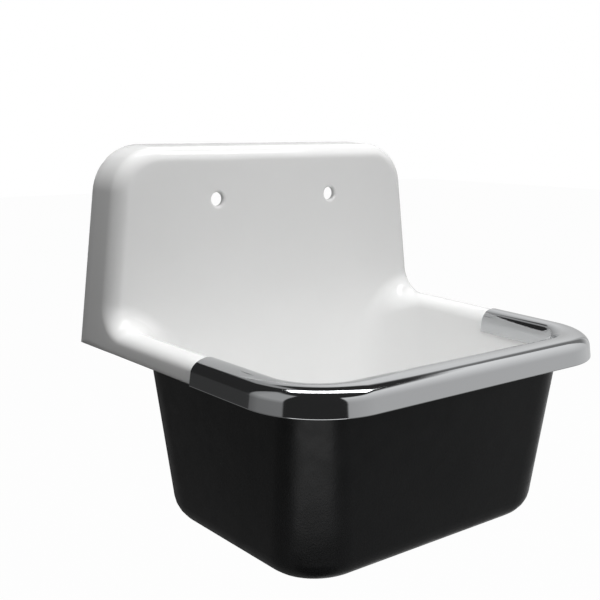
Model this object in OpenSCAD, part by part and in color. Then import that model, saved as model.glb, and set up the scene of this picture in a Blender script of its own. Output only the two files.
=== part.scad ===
// Wall-hung mop service sink: an enamelled cast iron basin with a high back,
// a stainless rim guard, a wall hanger and a grid drain.
// Millimetres. X runs along the wall, the room is on the -Y side, Z is up.
// Heights inside the modules are counted from the bottom edge of the rim;
// the whole sink is then lowered so that the origin is the middle of the
// two hanger bolt holes, on the wall.

/* [Rim] */
// Width of the casting at the wall, along the bottom edge of the rim
back_w = 577; // [500:1:660]
// Distance from the wall to the front face of the casting
depth = 496; // [440:1:560]
// Draw-in of each side towards the front, in degrees
plan_draw = 3.2; // [0.5:0.1:6]
// Plan radius of the two front corners
corner_r = 100; // [75:1:125]
// Height of the flat outer face of the rim
skirt_h = 15; // [11:1:20]
// Rise of the rounded shoulder of the rim above that face
shoulder_h = 14; // [10:0.5:18]
// Width of the rounded shoulder of the rim
shoulder_w = 21; // [16:1:26]
// Width of the side rims, from outer face to bowl
side_rim_w = 44; // [38:1:52]
// Width of the front rim, from outer face to bowl
front_rim_w = 50; // [42:1:58]
// Drop from the crest of the rim to the straight wall of the bowl
inner_drop = 18; // [12:1:22]

/* [Bowl] */
// Depth of the bowl's underside below the bottom edge of the rim
bowl_drop = 230; // [180:1:280]
// Thickness of the cast walls
wall_t = 8; // [6:0.5:10]
// Draft of the side walls, in degrees
side_draft = 4; // [1:0.5:7]
// Draft of the front wall, in degrees
front_draft = 5.6; // [1:0.2:8]
// Draft of the rear wall, in degrees
rear_draft = 5.5; // [1:0.5:8]
// Plan radius of the bowl's rear corners at the rim
rear_corner_r = 70; // [45:1:85]
// Growth of the corner radii per millimetre of depth
corner_growth = 0.06; // [0:0.01:0.12]
// Radius between the walls and the floor, inside
floor_r = 22; // [14:1:34]
// Fall of the floor from its edge to the drain
floor_fall = 4; // [1:0.5:6]

/* [Back] */
// Height of the back above the bottom edge of the rim
back_h = 276; // [240:1:330]
// Distance from the wall to the front panel of the back
back_depth = 73; // [62:1:90]
// Depth of the flat flank of the back, from the wall
flank_d = 50; // [36:1:56]
// Width of the round between flank and front panel
flank_round_w = 20; // [14:1:38]
// Lean of each flank from upright, in degrees
side_lean = 7.2; // [1:0.2:9]
// Radius of the top corners at the wall
top_corner_r = 72; // [48:1:95]
// Radius of the cove between the crest of the rim and the back
cove_r = 37; // [24:1:50]
// Length of the soft bend between the back and the rear wall of the bowl
bend_h = 34; // [15:1:50]

/* [Faucet holes] */
// Spacing of the two faucet holes
faucet_pitch = 203.2; // [180:0.1:230]
// Distance from the top of the back down to the faucet holes
faucet_drop = 78; // [74:1:110]
// Diameter of the faucet holes
faucet_d = 23; // [20:0.5:27]
// Width of the eased edge round each hole
faucet_lip = 2; // [1:0.5:3]

/* [Rim guard] */
// Thickness of the stainless sheet
guard_t = 1.5; // [1:0.1:2.5]
// Clearance between guard and casting
guard_gap = 0.4; // [0.2:0.1:0.8]
// Distance from the wall to the ends of the guard
guard_start = 286; // [240:1:330]
// Length of the inner leg below the straight of the bowl wall
guard_leg = 12; // [6:1:18]

/* [Wall hanger] */
// Length of the hanger
hanger_w = 300; // [285:1:380]
// Thickness of the hanger plate
hanger_t = 4; // [3:0.5:5]
// Distance from the top of the back down to the top of the hanger's lip
hanger_drop = 38; // [34:1:42]
// Height of the hanger's lip
hanger_lip_h = 18; // [14:1:20]
// Inside width of the hanger's trough
trough_w = 16; // [14:0.5:20]
// Spacing of the hanger bolt holes
bolt_pitch = 254; // [230:1:260]
// Diameter of the hanger bolt holes
bolt_d = 9; // [7:0.5:10]
// Height of the hanger bolt holes above the top of the lip
bolt_rise = 16; // [12:1:17]
// Length of each cast hook, along the wall
hook_w = 45; // [35:1:55]
// Spacing of the two cast hooks
hook_pitch = 130; // [110:1:150]
// Thickness of each cast hook
hook_t = 11; // [9:1:13]

/* [Drain] */
// Clearance between the drain's thread and the hole in the casting
outlet_gap = 0.8; // [0.4:0.1:2]
// Diameter of the drain boss under the bowl
boss_d = 116; // [104:1:130]
// Height of the drain boss
boss_h = 8; // [5:1:12]
// Diameter of the drain flange
flange_d = 92; // [88:1:98]
// Thickness of the drain flange
flange_t = 2.5; // [2:0.1:3.5]
// Diameter of the thread at the top of the drain tube
thread_d = 62.4; // [61.5:0.1:64]
// Outside diameter of the plain end of the drain tube
tube_d = 60.3; // [58:0.1:61]
// Inside diameter of the drain tube
tube_bore = 50; // [46:0.5:52]
// Length of the drain tube below the flange
tube_len = 70; // [55:1:100]
// Thickness of the rubber ring under the flange
flange_seal_t = 1.5; // [1:0.1:2.5]
// Thickness of the rubber ring under the boss
boss_seal_t = 4; // [2:0.5:6]
// Thickness of the friction washer
washer_t = 1.5; // [1:0.1:2.5]
// Height of the locknut
nut_h = 12; // [9:1:16]
// Diameter of the grid
grid_d = 56; // [53.5:0.5:56.5]
// Thickness of the grid
grid_t = 2; // [1.5:0.1:2.5]
// Diameter of the small grid holes
grid_hole_d = 6; // [4:0.5:6.5]
// Diameter of the grid screw
screw_d = 5; // [4:0.5:6]
// Clearance of parts that slip into each other
slip = 0.15; // [0.1:0.05:0.3]
// Gap between parts that rest on each other
seat_gap = 0.05; // [0:0.05:0.2]

/* [Hidden] */
$fn = 96;

// Points along each zone of half the sink, from the middle of the front,
// round the rim, up the flank and along the top to the middle of the back
front_steps = 2;
corner_steps = 12;
side_steps = 2;
cove_steps = 12;
upright_steps = 2;
top_corner_steps = 9;
top_steps = 2;
// Rings of points over each round
round_rings = 6;
lip_rings = 7;
floor_rings = 6;
bezier_k = 0.55;

half_w = back_w / 2;
crest_h = skirt_h + shoulder_h;
lip_z = crest_h - inner_drop;
floor_z = -bowl_drop + wall_t;

// Centre of the front corner in plan, of the top corner at the wall,
// and of the cove seen from the side
corner_y = -depth + corner_r;
corner_x = half_w + corner_y * tan(plan_draw) - corner_r / cos(plan_draw);
top_z = back_h - top_corner_r;
top_x = half_w - top_z * tan(side_lean) - top_corner_r / cos(side_lean);
cove_y = -back_depth - cove_r;
cove_z = crest_h + cove_r;

// Drain place and levels
drain_y = -(depth - front_rim_w + back_depth) / 2;
outlet_d = thread_d + 2 * outlet_gap;
recess_d = flange_d + 4;
core_r = outlet_d / 2 - 8;
flange_top = floor_z - 0.5;
flange_under = flange_top - flange_t;
recess_z = flange_under - flange_seal_t;
boss_z = -bowl_drop - boss_h;
washer_z = boss_z - boss_seal_t;
nut_z = washer_z - washer_t;
thread_end_z = nut_z - nut_h - 2;
tube_end_z = flange_under - tube_len;
seal_d = flange_d - 2;
grid_seat = grid_t + 0.6;
cross_z = flange_top - grid_seat - 8;
cross_h = 5;
cross_w = 5;
hub_d = screw_d + 8;

// Levels of the faucet holes and the hanger
faucet_z = back_h - faucet_drop;
hanger_lip_z = back_h - hanger_drop;
trough_y = -hanger_t - trough_w;
trough_z = hanger_lip_z - hanger_lip_h;
bolt_z = hanger_lip_z + bolt_rise;
plate_top = bolt_z + bolt_d / 2 + 4;
panel_back = -back_depth + wall_t;

function lerp(a, b, t) = a + (b - a) * t;
function unit(v) = v / norm(v);
function mirrored(p) = [-p[0], p[1], p[2]];

// ---- Stations: [zone, how far through it] ----
// Zones: 0 front, 1 front corner, 2 side, 3 cove, 4 flank, 5 top corner, 6 top
function steps(zone, count, last = 0) = [for (i = [0:count - 1 + last]) [zone, i / count]];
stations = concat(steps(0, front_steps), steps(1, corner_steps), steps(2, side_steps),
                  steps(3, cove_steps), steps(4, upright_steps),
                  steps(5, top_corner_steps), steps(6, top_steps, 1));

function corner_angle(t) = -90 + t * (90 - plan_draw);
function top_angle(t) = side_lean + t * (90 - side_lean);
side_start = corner_y - corner_r * sin(plan_draw);
upright_end = top_z + top_corner_r * sin(side_lean);

// Point of the flat side plane above a given place
function side_point(y, z) = [half_w + y * tan(plan_draw) - z * tan(side_lean), y, z];

// Outer edge of the casting: the bottom edge of the rim and the edge at the wall
function edge(s) =
    s[0] == 0 ? [corner_x * s[1], -depth, 0] :
    s[0] == 1 ? [corner_x + corner_r * cos(corner_angle(s[1])),
                 corner_y + corner_r * sin(corner_angle(s[1])), 0] :
    s[0] == 2 ? side_point(lerp(side_start, cove_y, s[1]), 0) :
    s[0] == 3 ? (s[1] < 0.5 ? side_point(cove_y * (1 - 2 * s[1]), 0)
                            : side_point(0, cove_z * (2 * s[1] - 1))) :
    s[0] == 4 ? side_point(0, lerp(cove_z, upright_end, s[1])) :
    s[0] == 5 ? [top_x + top_corner_r * cos(top_angle(s[1])), 0,
                 top_z + top_corner_r * sin(top_angle(s[1]))] :
    [top_x * (1 - s[1]), 0, back_h];

// Direction square to the outer face, into the sink
side_in = [-cos(plan_draw), sin(plan_draw), 0];
flank_in = [-cos(side_lean), 0, -sin(side_lean)];
function inward(s) =
    s[0] == 0 ? [0, 1, 0] :
    s[0] == 1 ? [-cos(corner_angle(s[1])), -sin(corner_angle(s[1])), 0] :
    s[0] == 2 ? side_in :
    s[0] == 3 ? unit(lerp(side_in, flank_in, back_share(s))) :
    s[0] == 4 ? flank_in :
    s[0] == 5 ? [-cos(top_angle(s[1])), 0, -sin(top_angle(s[1]))] :
    [0, 0, -1];

// Share of the back in a section: 0 on the rim, 1 on the back, eased through the cove
function back_share(s) = s[0] < 3 ? 0 : s[0] > 3 ? 1 : s[1] * s[1] * (3 - 2 * s[1]);
function face_h(s) = lerp(skirt_h, flank_d, back_share(s));
function full_h(s) = lerp(crest_h, back_depth, back_share(s));
function round_w(s) = lerp(shoulder_w, flank_round_w, back_share(s));

// Point of a section, h up its outer face and w in from it
function at(s, h, w) =
    s[0] < 3 ? edge(s) + [0, 0, h] + inward(s) * (w + h * tan(side_lean)) :
    s[0] > 3 ? edge(s) + [0, -h, 0] + inward(s) * (w + h * tan(plan_draw)) :
    cove_point(cove_r + full_h(s) - h, 90 * s[1]) + inward(s) * w;
function cove_point(r, a) = side_point(cove_y + r * sin(a), cove_z - r * cos(a));

// Quarter round of a section, from the flat face (0) to the crest (1), t inside it
function rounding(s, k, t) =
    at(s, face_h(s) + (full_h(s) - face_h(s) - t) * sin(90 * k),
       t + (round_w(s) - t) * (1 - cos(90 * k)));

// ---- Bowl outlines: a rounded plan at depth d below the lip, o outside the bowl ----
function front_y(d, o) = -depth + front_rim_w + d * tan(front_draft) - o;
function rear_y(d, o) = -back_depth - d * tan(rear_draft) + o;
function side_x(y, d, o) =
    half_w + y * tan(plan_draw) - (side_rim_w - o) / cos(plan_draw) - d * tan(side_draft);
// Radius of a front corner at a given angle, between its side and its front value
function front_r(a, d, o) =
    corner_r - lerp(side_rim_w, front_rim_w, pow(sin(a), 2)) + o + d * corner_growth;
function rear_r(d, o) = rear_corner_r + o + d * corner_growth;
function front_centre_y(d, o) = front_y(d, o) + front_r(90, d, o);
function front_centre_x(d, o) =
    side_x(front_centre_y(d, o), d, o) - front_r(0, d, o) / cos(plan_draw);
function rear_centre_y(d, o) = rear_y(d, o) - rear_r(d, o);
function rear_centre_x(d, o) =
    side_x(rear_centre_y(d, o), d, o) - rear_r(d, o) / cos(plan_draw);

// How far the foot of a section of the back has come from the bowl's corner to its middle
function rear_share(s) =
    s[0] == 4 ? lerp(0, 0.25, s[1]) :
    s[0] == 5 ? lerp(0.25, 0.4, s[1]) : lerp(0.4, 1, s[1]);

function plan(s, d, o) =
    s[0] == 0 ? [front_centre_x(d, o) * s[1], front_y(d, o)] :
    s[0] == 1 ? [front_centre_x(d, o), front_centre_y(d, o)]
                + front_r(corner_angle(s[1]), d, o)
                * [cos(corner_angle(s[1])), sin(corner_angle(s[1]))] :
    s[0] == 2 ? lerp([front_centre_x(d, o), front_centre_y(d, o)]
                     + front_r(0, d, o) * [cos(plan_draw), -sin(plan_draw)],
                     [rear_centre_x(d, o), rear_centre_y(d, o)]
                     + rear_r(d, o) * [cos(plan_draw), -sin(plan_draw)], s[1]) :
    s[0] == 3 ? [rear_centre_x(d, o), rear_centre_y(d, o)]
                + rear_r(d, o) * [cos(lerp(-plan_draw, 90, s[1])),
                                  sin(lerp(-plan_draw, 90, s[1]))] :
    [rear_centre_x(d, o) * (1 - rear_share(s)), rear_y(d, o)];
function bowl_point(s, d, o) = concat(plan(s, d, o), [lip_z - d]);

// Where the inner side of a section meets the wall of the bowl, below the lip
function foot_d(s) = bend_h * back_share(s);

// Cubic curve from the crest of a section down to the wall of the bowl, at t
// inside the face: it leaves the crest inwards and joins the wall along its slope
lip_reach = 60;
function lip_curve(s, t, k) =
    let (a = rounding(s, 1, t),
         b = bowl_point(s, max(foot_d(s), t), t),
         rise = (a[2] - b[2]) * bezier_k,
         top = t - inner_drop * bezier_k * (1 - back_share(s)),
         c1 = a + inward(s) * min(abs((b - a) * inward(s)), lip_reach) * bezier_k,
         c2 = bowl_point(s, max(foot_d(s) - rise, top), t))
    a * pow(1 - k, 3) + c1 * 3 * k * pow(1 - k, 2) + c2 * 3 * k * k * (1 - k) + b * pow(k, 3);

// Point on the floor, a share k of the way from the bowl outline to the drain core
function floor_point(s, k, rim, z_mid) =
    let (p = [rim[0], rim[1] - drain_y],
         q = unit(p) * core_r)
    [lerp(p[0], q[0], k), lerp(p[1], q[1], k) + drain_y, lerp(rim[2], z_mid, k)];

// Rings of the enamelled side, from the outer edge to the drain
inside_end = lip_z - floor_z - floor_fall;
function inside_foot(s, k) =
    bowl_point(s, inside_end - floor_r * (1 - sin(90 * k)), -floor_r * (1 - cos(90 * k)));
function inside_points(s) = concat(
    [edge(s)],
    [for (k = [0:round_rings]) rounding(s, k / round_rings, 0)],
    [for (k = [1:lip_rings]) lip_curve(s, 0, k / lip_rings)],
    [for (k = [0:floor_rings]) inside_foot(s, k / floor_rings)],
    [for (k = [1:2]) floor_point(s, k / 2, inside_foot(s, 1), floor_z)]);

// Rings of the hidden side, from the drain back to the outer edge
outside_end = lip_z + bowl_drop;
outside_r = floor_r + wall_t;
function outside_foot(s, k) =
    bowl_point(s, outside_end - outside_r * (1 - sin(90 * k)),
               wall_t - outside_r * (1 - cos(90 * k)));
function outside_points(s) = concat(
    [for (k = [2:-1:1]) floor_point(s, k / 2, outside_foot(s, 1), -bowl_drop)],
    [for (k = [floor_rings:-1:0]) outside_foot(s, k / floor_rings)],
    [for (k = [lip_rings:-1:1]) lip_curve(s, wall_t, k / lip_rings)],
    [for (k = [round_rings:-1:0]) rounding(s, k / round_rings, wall_t)],
    [inner_edge(edge(s) + inward(s) * wall_t)]);
// The inner edge stays level with the bottom edge and flush with the wall
function inner_edge(p) = [p[0], min(p[1], 0), max(p[2], 0)];

// A closed skin from columns of points that meet in a ring
function ring_faces(columns, rows) = [
    for (i = [0:columns - 1], j = [0:rows - 1])
        let (a = i * rows + j,
             b = i * rows + (j + 1) % rows,
             c = ((i + 1) % columns) * rows + (j + 1) % rows,
             d = ((i + 1) % columns) * rows + j)
        each [[a, b, c], [a, c, d]]];

module casting_skin() {
    half = [for (s = stations) concat(inside_points(s), outside_points(s))];
    last = len(half) - 1;
    columns = concat(half, [for (i = [last - 1:-1:1]) [for (p = half[i]) mirrored(p)]]);
    polyhedron([for (column = columns) each column],
               ring_faces(len(columns), len(columns[0])), convexity = 8);
}

module on_each_side(pitch) {
    for (side = [-1, 1]) translate([side * pitch / 2, 0, 0]) children();
}

// Hook cast on the rear of the panel: a shelf with a toe that drops behind the hanger's lip
module cast_hook() {
    under = hanger_lip_z + seat_gap;
    toe_y = trough_y + hanger_t / 4;
    translate([-hook_w / 2, 0, 0]) rotate([90, 0, 90]) linear_extrude(hook_w)
        polygon([[panel_back - wall_t / 2, under - hook_t],
                 [panel_back + hook_t, under],
                 [toe_y, under],
                 [toe_y, trough_z + hanger_t + 2],
                 [-hanger_t - 2, trough_z + hanger_t + 2],
                 [-hanger_t - 2, under + hook_t],
                 [panel_back - wall_t / 2, under + hook_t]]);
}

module basin() {
    color("white") translate([0, 0, -bolt_z]) difference() {
        union() {
            casting_skin();
            translate([0, drain_y, boss_z]) cylinder(d = boss_d, h = boss_h + wall_t / 2);
            on_each_side(hook_pitch) cast_hook();
        }
        on_each_side(faucet_pitch) translate([0, -back_depth, faucet_z]) rotate([-90, 0, 0]) {
            translate([0, 0, -wall_t]) cylinder(d = faucet_d, h = wall_t * 3);
            translate([0, 0, -1]) cylinder(r1 = faucet_d / 2 + faucet_lip + 1,
                                           r2 = faucet_d / 2, h = faucet_lip + 1);
        }
        translate([0, drain_y, recess_z]) cylinder(d = recess_d, h = wall_t * 2);
        translate([0, drain_y, boss_z - 1]) cylinder(d = outlet_d, h = boss_h + wall_t * 2);
    }
}

// ---- Rim guard: a sheet that follows the rim's section at distance g ----
function guard_w(s) =
    s[0] == 0 ? front_rim_w :
    s[0] == 1 ? lerp(side_rim_w, front_rim_w, pow(sin(corner_angle(s[1])), 2)) : side_rim_w;
function guard_draft(s) =
    s[0] == 0 ? front_draft :
    s[0] == 1 ? lerp(side_draft, front_draft, pow(sin(corner_angle(s[1])), 2)) : side_draft;
function rim_line(s) =
    let (crest = [shoulder_w + crest_h * tan(side_lean), crest_h],
         foot = [guard_w(s), lip_z],
         c1 = crest + [(foot[0] - crest[0]) * bezier_k, 0],
         c2 = foot + inner_drop * bezier_k * [-tan(guard_draft(s)), 1])
    concat(
        [[0, 0]],
        [for (k = [0:round_rings])
            let (h = skirt_h + shoulder_h * sin(90 * k / round_rings))
            [shoulder_w * (1 - cos(90 * k / round_rings)) + h * tan(side_lean), h]],
        [for (k = [1:lip_rings])
            let (t = k / lip_rings)
            crest * pow(1 - t, 3) + c1 * 3 * t * pow(1 - t, 2)
            + c2 * 3 * t * t * (1 - t) + foot * pow(t, 3)],
        [foot + guard_leg * [tan(guard_draft(s)), -1]]);
function away(line, i, g) =
    let (d = unit(line[min(i + 1, len(line) - 1)] - line[max(i - 1, 0)]))
    line[i] + g * [-d[1], d[0]];
function guard_section(s) =
    let (line = rim_line(s), last = len(line) - 1)
    concat([for (i = [0:last]) away(line, i, guard_gap + guard_t)],
           [for (i = [last:-1:0]) away(line, i, guard_gap)]);
function guard_column(s) =
    [for (p = guard_section(s)) edge(s) + inward(s) * p[0] + [0, 0, p[1]]];

// Stations of half the guard, the last one where the guard ends
guard_end = [2, (-guard_start - side_start) / (cove_y - side_start)];
guard_stations = concat(steps(0, front_steps), steps(1, corner_steps), [[2, 0], guard_end]);

module rim_guard() {
    right = [for (s = guard_stations) guard_column(s)];
    last = len(right) - 1;
    columns = concat([for (i = [last:-1:1]) [for (p = right[i]) mirrored(p)]], right);
    rows = len(columns[0]);
    far = (len(columns) - 1) * rows;
    sides = [for (i = [0:len(columns) - 2], j = [0:rows - 1])
        let (a = i * rows + j,
             b = i * rows + (j + 1) % rows)
        each [[a, b, b + rows], [a, b + rows, a + rows]]];
    near_end = [for (j = [0:rows / 2 - 2])
        each [[j, rows - 2 - j, j + 1], [j, rows - 1 - j, rows - 2 - j]]];
    far_end = [for (f = near_end) [far + f[2], far + f[1], far + f[0]]];
    color("silver") translate([0, 0, -bolt_z])
        polyhedron([for (column = columns) each column],
                   concat(sides, near_end, far_end), convexity = 6);
}

// ---- Wall hanger: a plate with an upturned lip that the cast hooks drop over ----
module wall_hanger() {
    color("dimgray") translate([0, 0, -bolt_z]) difference() {
        translate([-hanger_w / 2, 0, 0]) rotate([90, 0, 90]) linear_extrude(hanger_w)
            polygon([[0, trough_z],
                     [0, plate_top],
                     [-hanger_t, plate_top],
                     [-hanger_t, trough_z + hanger_t],
                     [trough_y, trough_z + hanger_t],
                     [trough_y, hanger_lip_z],
                     [trough_y - hanger_t, hanger_lip_z],
                     [trough_y - hanger_t, trough_z]]);
        on_each_side(bolt_pitch) translate([0, -hanger_t - 1, bolt_z]) rotate([-90, 0, 0])
            cylinder(d = bolt_d, h = hanger_t + 2);
    }
}

// ---- Drain ----
module at_drain(z) {
    translate([0, drain_y, z - bolt_z]) children();
}

module washer_ring(outer, inner, height) {
    difference() {
        cylinder(d = outer, h = height);
        translate([0, 0, -1]) cylinder(d = inner, h = height + 2);
    }
}

module drain_body() {
    color("gainsboro") at_drain(0) {
        difference() {
            union() {
                translate([0, 0, flange_under]) cylinder(d = flange_d, h = flange_t);
                translate([0, 0, thread_end_z])
                    cylinder(d = thread_d, h = flange_under + flange_t / 2 - thread_end_z);
                translate([0, 0, tube_end_z])
                    cylinder(d = tube_d, h = thread_end_z + 1 - tube_end_z);
            }
            translate([0, 0, tube_end_z - 1])
                cylinder(d = tube_bore, h = tube_len + flange_t + 2);
            translate([0, 0, flange_top - grid_seat])
                cylinder(d = grid_d + 2 * slip, h = grid_seat + 1);
        }
        difference() {
            union() {
                translate([0, 0, cross_z]) cylinder(d = hub_d, h = cross_h);
                for (turn = [0:120:240]) rotate([0, 0, turn])
                    translate([0, -cross_w / 2, cross_z])
                        cube([tube_bore / 2 + 1, cross_w, cross_h]);
            }
            translate([0, 0, cross_z - 1]) cylinder(d = screw_d + 2 * slip, h = cross_h + 2);
        }
    }
}

module drain_grid() {
    color("silver") at_drain(flange_top - grid_seat + seat_gap) difference() {
        cylinder(d = grid_d, h = grid_t);
        translate([0, 0, -1]) cylinder(d = screw_d + 2 * slip, h = grid_t + 2);
        for (ring = [1:2], turn = [0:60 / ring:359])
            rotate([0, 0, turn + 15]) translate([ring * 0.19 * grid_d, 0, -1])
                cylinder(d = grid_hole_d, h = grid_t + 2);
    }
}

module grid_screw() {
    head_z = flange_top - grid_seat + 2 * seat_gap + grid_t;
    color("silver") at_drain(0) {
        translate([0, 0, cross_z - 3]) cylinder(d = screw_d, h = head_z - cross_z + 3.5);
        difference() {
            translate([0, 0, head_z]) cylinder(d1 = screw_d * 2, d2 = screw_d * 1.4, h = 2);
            translate([-screw_d, -0.5, head_z + 1]) cube([screw_d * 2, 1, 2]);
        }
    }
}

module flange_seal() {
    color("black") at_drain(recess_z + seat_gap)
        washer_ring(seal_d, thread_d + 1, flange_seal_t - 2 * seat_gap);
}

module boss_seal() {
    color("black") at_drain(washer_z + seat_gap)
        washer_ring(seal_d, thread_d + 1, boss_seal_t - 2 * seat_gap);
}

module friction_washer() {
    color("goldenrod") at_drain(nut_z + seat_gap)
        washer_ring(seal_d, thread_d + 1, washer_t - seat_gap);
}

// Locknut with eight wrench lugs round its rim
module drain_locknut() {
    nut_d = seal_d - 6;
    lug_w = 12;
    lug_out = 5;
    color("goldenrod") at_drain(nut_z - nut_h) difference() {
        union() {
            cylinder(d = nut_d, h = nut_h);
            for (turn = [0:45:315]) rotate([0, 0, turn])
                translate([0, -lug_w / 2, 0])
                    cube([nut_d / 2 + lug_out, lug_w, nut_h * 0.7]);
        }
        translate([0, 0, -1]) cylinder(d = thread_d + 2 * slip, h = nut_h + 2);
    }
}

basin();
rim_guard();
wall_hanger();
drain_body();
drain_grid();
grid_screw();
flange_seal();
boss_seal();
friction_washer();
drain_locknut();
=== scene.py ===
# %% [markdown]
# # A wall-hung mop service sink
#
# The real object is one big iron casting: a deep bowl, a rolled rim and a high
# back, white enamel on the wet side and black paint on the hidden side. A bent
# sheet of polished stainless steel guards the front of the rim. On the wall a
# steel hanger carries the casting, and a clamped drain closes its floor.
#
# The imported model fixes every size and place. Each visible piece is then made
# again as a finer surface, worked out with numpy from the same few lengths, and
# dressed with a material built from nodes.

import bmesh
import bpy
import numpy as np
from mathutils import Matrix, Vector


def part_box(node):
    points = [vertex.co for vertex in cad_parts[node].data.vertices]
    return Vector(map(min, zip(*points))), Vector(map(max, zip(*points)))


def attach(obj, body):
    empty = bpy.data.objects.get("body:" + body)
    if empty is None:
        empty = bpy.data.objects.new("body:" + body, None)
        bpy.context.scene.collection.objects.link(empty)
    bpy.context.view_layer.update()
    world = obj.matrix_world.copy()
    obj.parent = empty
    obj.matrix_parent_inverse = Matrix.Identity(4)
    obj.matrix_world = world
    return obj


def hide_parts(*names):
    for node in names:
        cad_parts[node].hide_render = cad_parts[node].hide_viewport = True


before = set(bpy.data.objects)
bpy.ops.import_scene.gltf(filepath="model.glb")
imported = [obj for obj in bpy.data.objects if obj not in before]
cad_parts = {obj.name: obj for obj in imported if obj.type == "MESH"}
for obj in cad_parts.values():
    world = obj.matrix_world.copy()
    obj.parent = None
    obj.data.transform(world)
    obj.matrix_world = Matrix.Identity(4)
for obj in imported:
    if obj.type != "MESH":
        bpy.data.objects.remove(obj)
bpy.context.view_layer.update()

# %% [markdown]
# ## Lengths
#
# A foundry drawing gives a handful of lengths, and everything else follows from
# them. They are in millimetres and degrees. Heights are counted from the bottom
# edge of the rim, because that edge is straight and level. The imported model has
# its zero between the hanger's bolt holes, so one shift joins the two.

# %% Lengths of the casting
MM = 0.001
back_w, depth, back_h, back_depth = 577.0, 496.0, 276.0, 73.0
# Corners seen from above, corners of the back, and the cove from the rim to the back
corner_r, top_corner_r, cove_r = 100.0, 72.0, 37.0
# The rim's outer face and quarter round, its width, and the drop from crest to lip
skirt_h, shoulder_h, shoulder_w = 15.0, 14.0, 21.0
side_rim_w, front_rim_w, inner_drop = 44.0, 50.0, 18.0
# The flat flank of the back, and the width of the quarter round in front of it
flank_d, flank_round_w = 50.0, 20.0
# The bowl: depth below the rim's edge, wall, round at the floor, fall of the floor
bowl_drop, wall_t, floor_r, floor_fall = 230.0, 8.0, 22.0, 4.0
# The bowl's rear corners, the growth of a corner with depth, the bend below the back,
# and the longest handle that the curve over the lip may have
rear_corner_r, corner_growth, bend_h, lip_reach = 70.0, 0.06, 34.0, 60.0
# The eased outer edge, and the share of its span at which a cubic's handles stand, so
# that it comes close to a quarter round
edge_ease = 2.5
KAPPA = 0.55

plan_draw, side_lean = np.radians(3.2), np.radians(7.2)
side_draft, front_draft, rear_draft = np.radians([4.0, 5.6, 5.5])

half_w = back_w / 2
crest_h = skirt_h + shoulder_h
lip_z = crest_h - inner_drop
floor_z = wall_t - bowl_drop
box_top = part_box("basin")[1].z / MM
shift = np.array([0.0, 0.0, box_top - back_h])
print("the rim's bottom edge lies", round(float(shift[2]), 2), "mm from the frame's zero")

# %% [markdown]
# ## From arrays to meshes
#
# A surface is a grid of points, one index for each of its two parameters. The
# faces come from the grid's own numbering, so a loop over vertices is never
# needed. A closed surface wraps round in one direction or in both. The sign of
# the enclosed volume tells whether its faces point outwards. Blender's own
# primitives could be pushed into shape by hand, but a formula keeps every length
# a named value that can be changed.


# %% Grid to mesh
def place(points):
    """Rim coordinates in millimetres to frame coordinates in metres."""
    return (np.asarray(points, float) + shift) * MM


def grid_faces(rows, columns, wrap_rows, wrap_columns):
    """Four corner numbers of each cell: (i, j), (i+1, j), (i+1, j+1), (i, j+1)."""
    i, j = np.meshgrid(np.arange(rows - (not wrap_rows)),
                       np.arange(columns - (not wrap_columns)), indexing="ij")
    k, l = (i + 1) % rows, (j + 1) % columns
    return np.stack([i * columns + j, k * columns + j, k * columns + l, i * columns + l],
                    axis=-1).reshape(-1, 4)


def enclosed_volume(points, faces):
    """Sum over quads of the two tetrahedra that each spans with the middle point."""
    a, b, c, d = (points[faces[:, n]] - points.mean(axis=0) for n in range(4))
    spans = np.einsum("ij,ij->i", a, np.cross(b, c) + np.cross(c, d))
    return spans.sum() / 6


def mesh_from_grid(name, points, wrap_rows=True, wrap_columns=True, caps=False, uv=None):
    """A smooth mesh from a grid of points. caps closes the first and last row."""
    rows, columns = points.shape[:2]
    flat = points.reshape(-1, 3)
    faces = grid_faces(rows, columns, wrap_rows, wrap_columns)
    flip = enclosed_volume(flat, faces) < 0
    if flip:
        faces = faces[:, ::-1]
    polygons = faces.tolist()
    if caps:
        first = np.arange(columns)
        last = first + (rows - 1) * columns
        ends = [first[::-1], last] if flip else [first, last[::-1]]
        polygons += [end.tolist() for end in ends]
    mesh = bpy.data.meshes.new(name)
    mesh.from_pydata(flat.tolist(), [], polygons)
    mesh.polygons.foreach_set("use_smooth", np.ones(len(polygons), bool))
    if uv is not None:
        layer = mesh.uv_layers.new(name="UVMap")
        corners = np.empty(len(mesh.loops), int)
        mesh.loops.foreach_get("vertex_index", corners)
        layer.data.foreach_set("uv", uv.reshape(-1, 2)[corners].ravel())
    mesh.update()
    return mesh


def add_object(name, mesh):
    """Puts a mesh into the scene as an object at the origin, unturned."""
    piece = bpy.data.objects.new(name, mesh)
    bpy.context.scene.collection.objects.link(piece)
    return piece


def lerp(a, b, t):
    """Straight blend: a plus the share t of the way to b."""
    return a + (b - a) * t


def sharpen(piece, degrees):
    """Edges that turn by more than this angle stay crisp, the rest shade smoothly."""
    mesh = piece.data
    mesh.polygons.foreach_set("use_smooth", np.ones(len(mesh.polygons), bool))
    mesh.set_sharp_from_angle(angle=np.radians(degrees))


def apply_modifiers(piece):
    """Freezes the modifiers of a piece into its own mesh."""
    evaluated = piece.evaluated_get(bpy.context.evaluated_depsgraph_get())
    mesh = bpy.data.meshes.new_from_object(evaluated)
    piece.modifiers.clear()
    old, piece.data = piece.data, mesh
    bpy.data.meshes.remove(old)


def combine(piece, other, operation):
    """Boolean of two closed pieces; the second one is used up."""
    step = piece.modifiers.new(operation, "BOOLEAN")
    step.operation, step.object, step.solver = operation, other, "EXACT"
    step.material_mode = "TRANSFER"
    apply_modifiers(piece)
    bpy.data.objects.remove(other)


def report(piece):
    """Prints how many points and triangles a piece has."""
    mesh = piece.data
    mesh.calc_loop_triangles()
    print(piece.name, len(mesh.vertices), "points", len(mesh.loop_triangles), "triangles")


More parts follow.
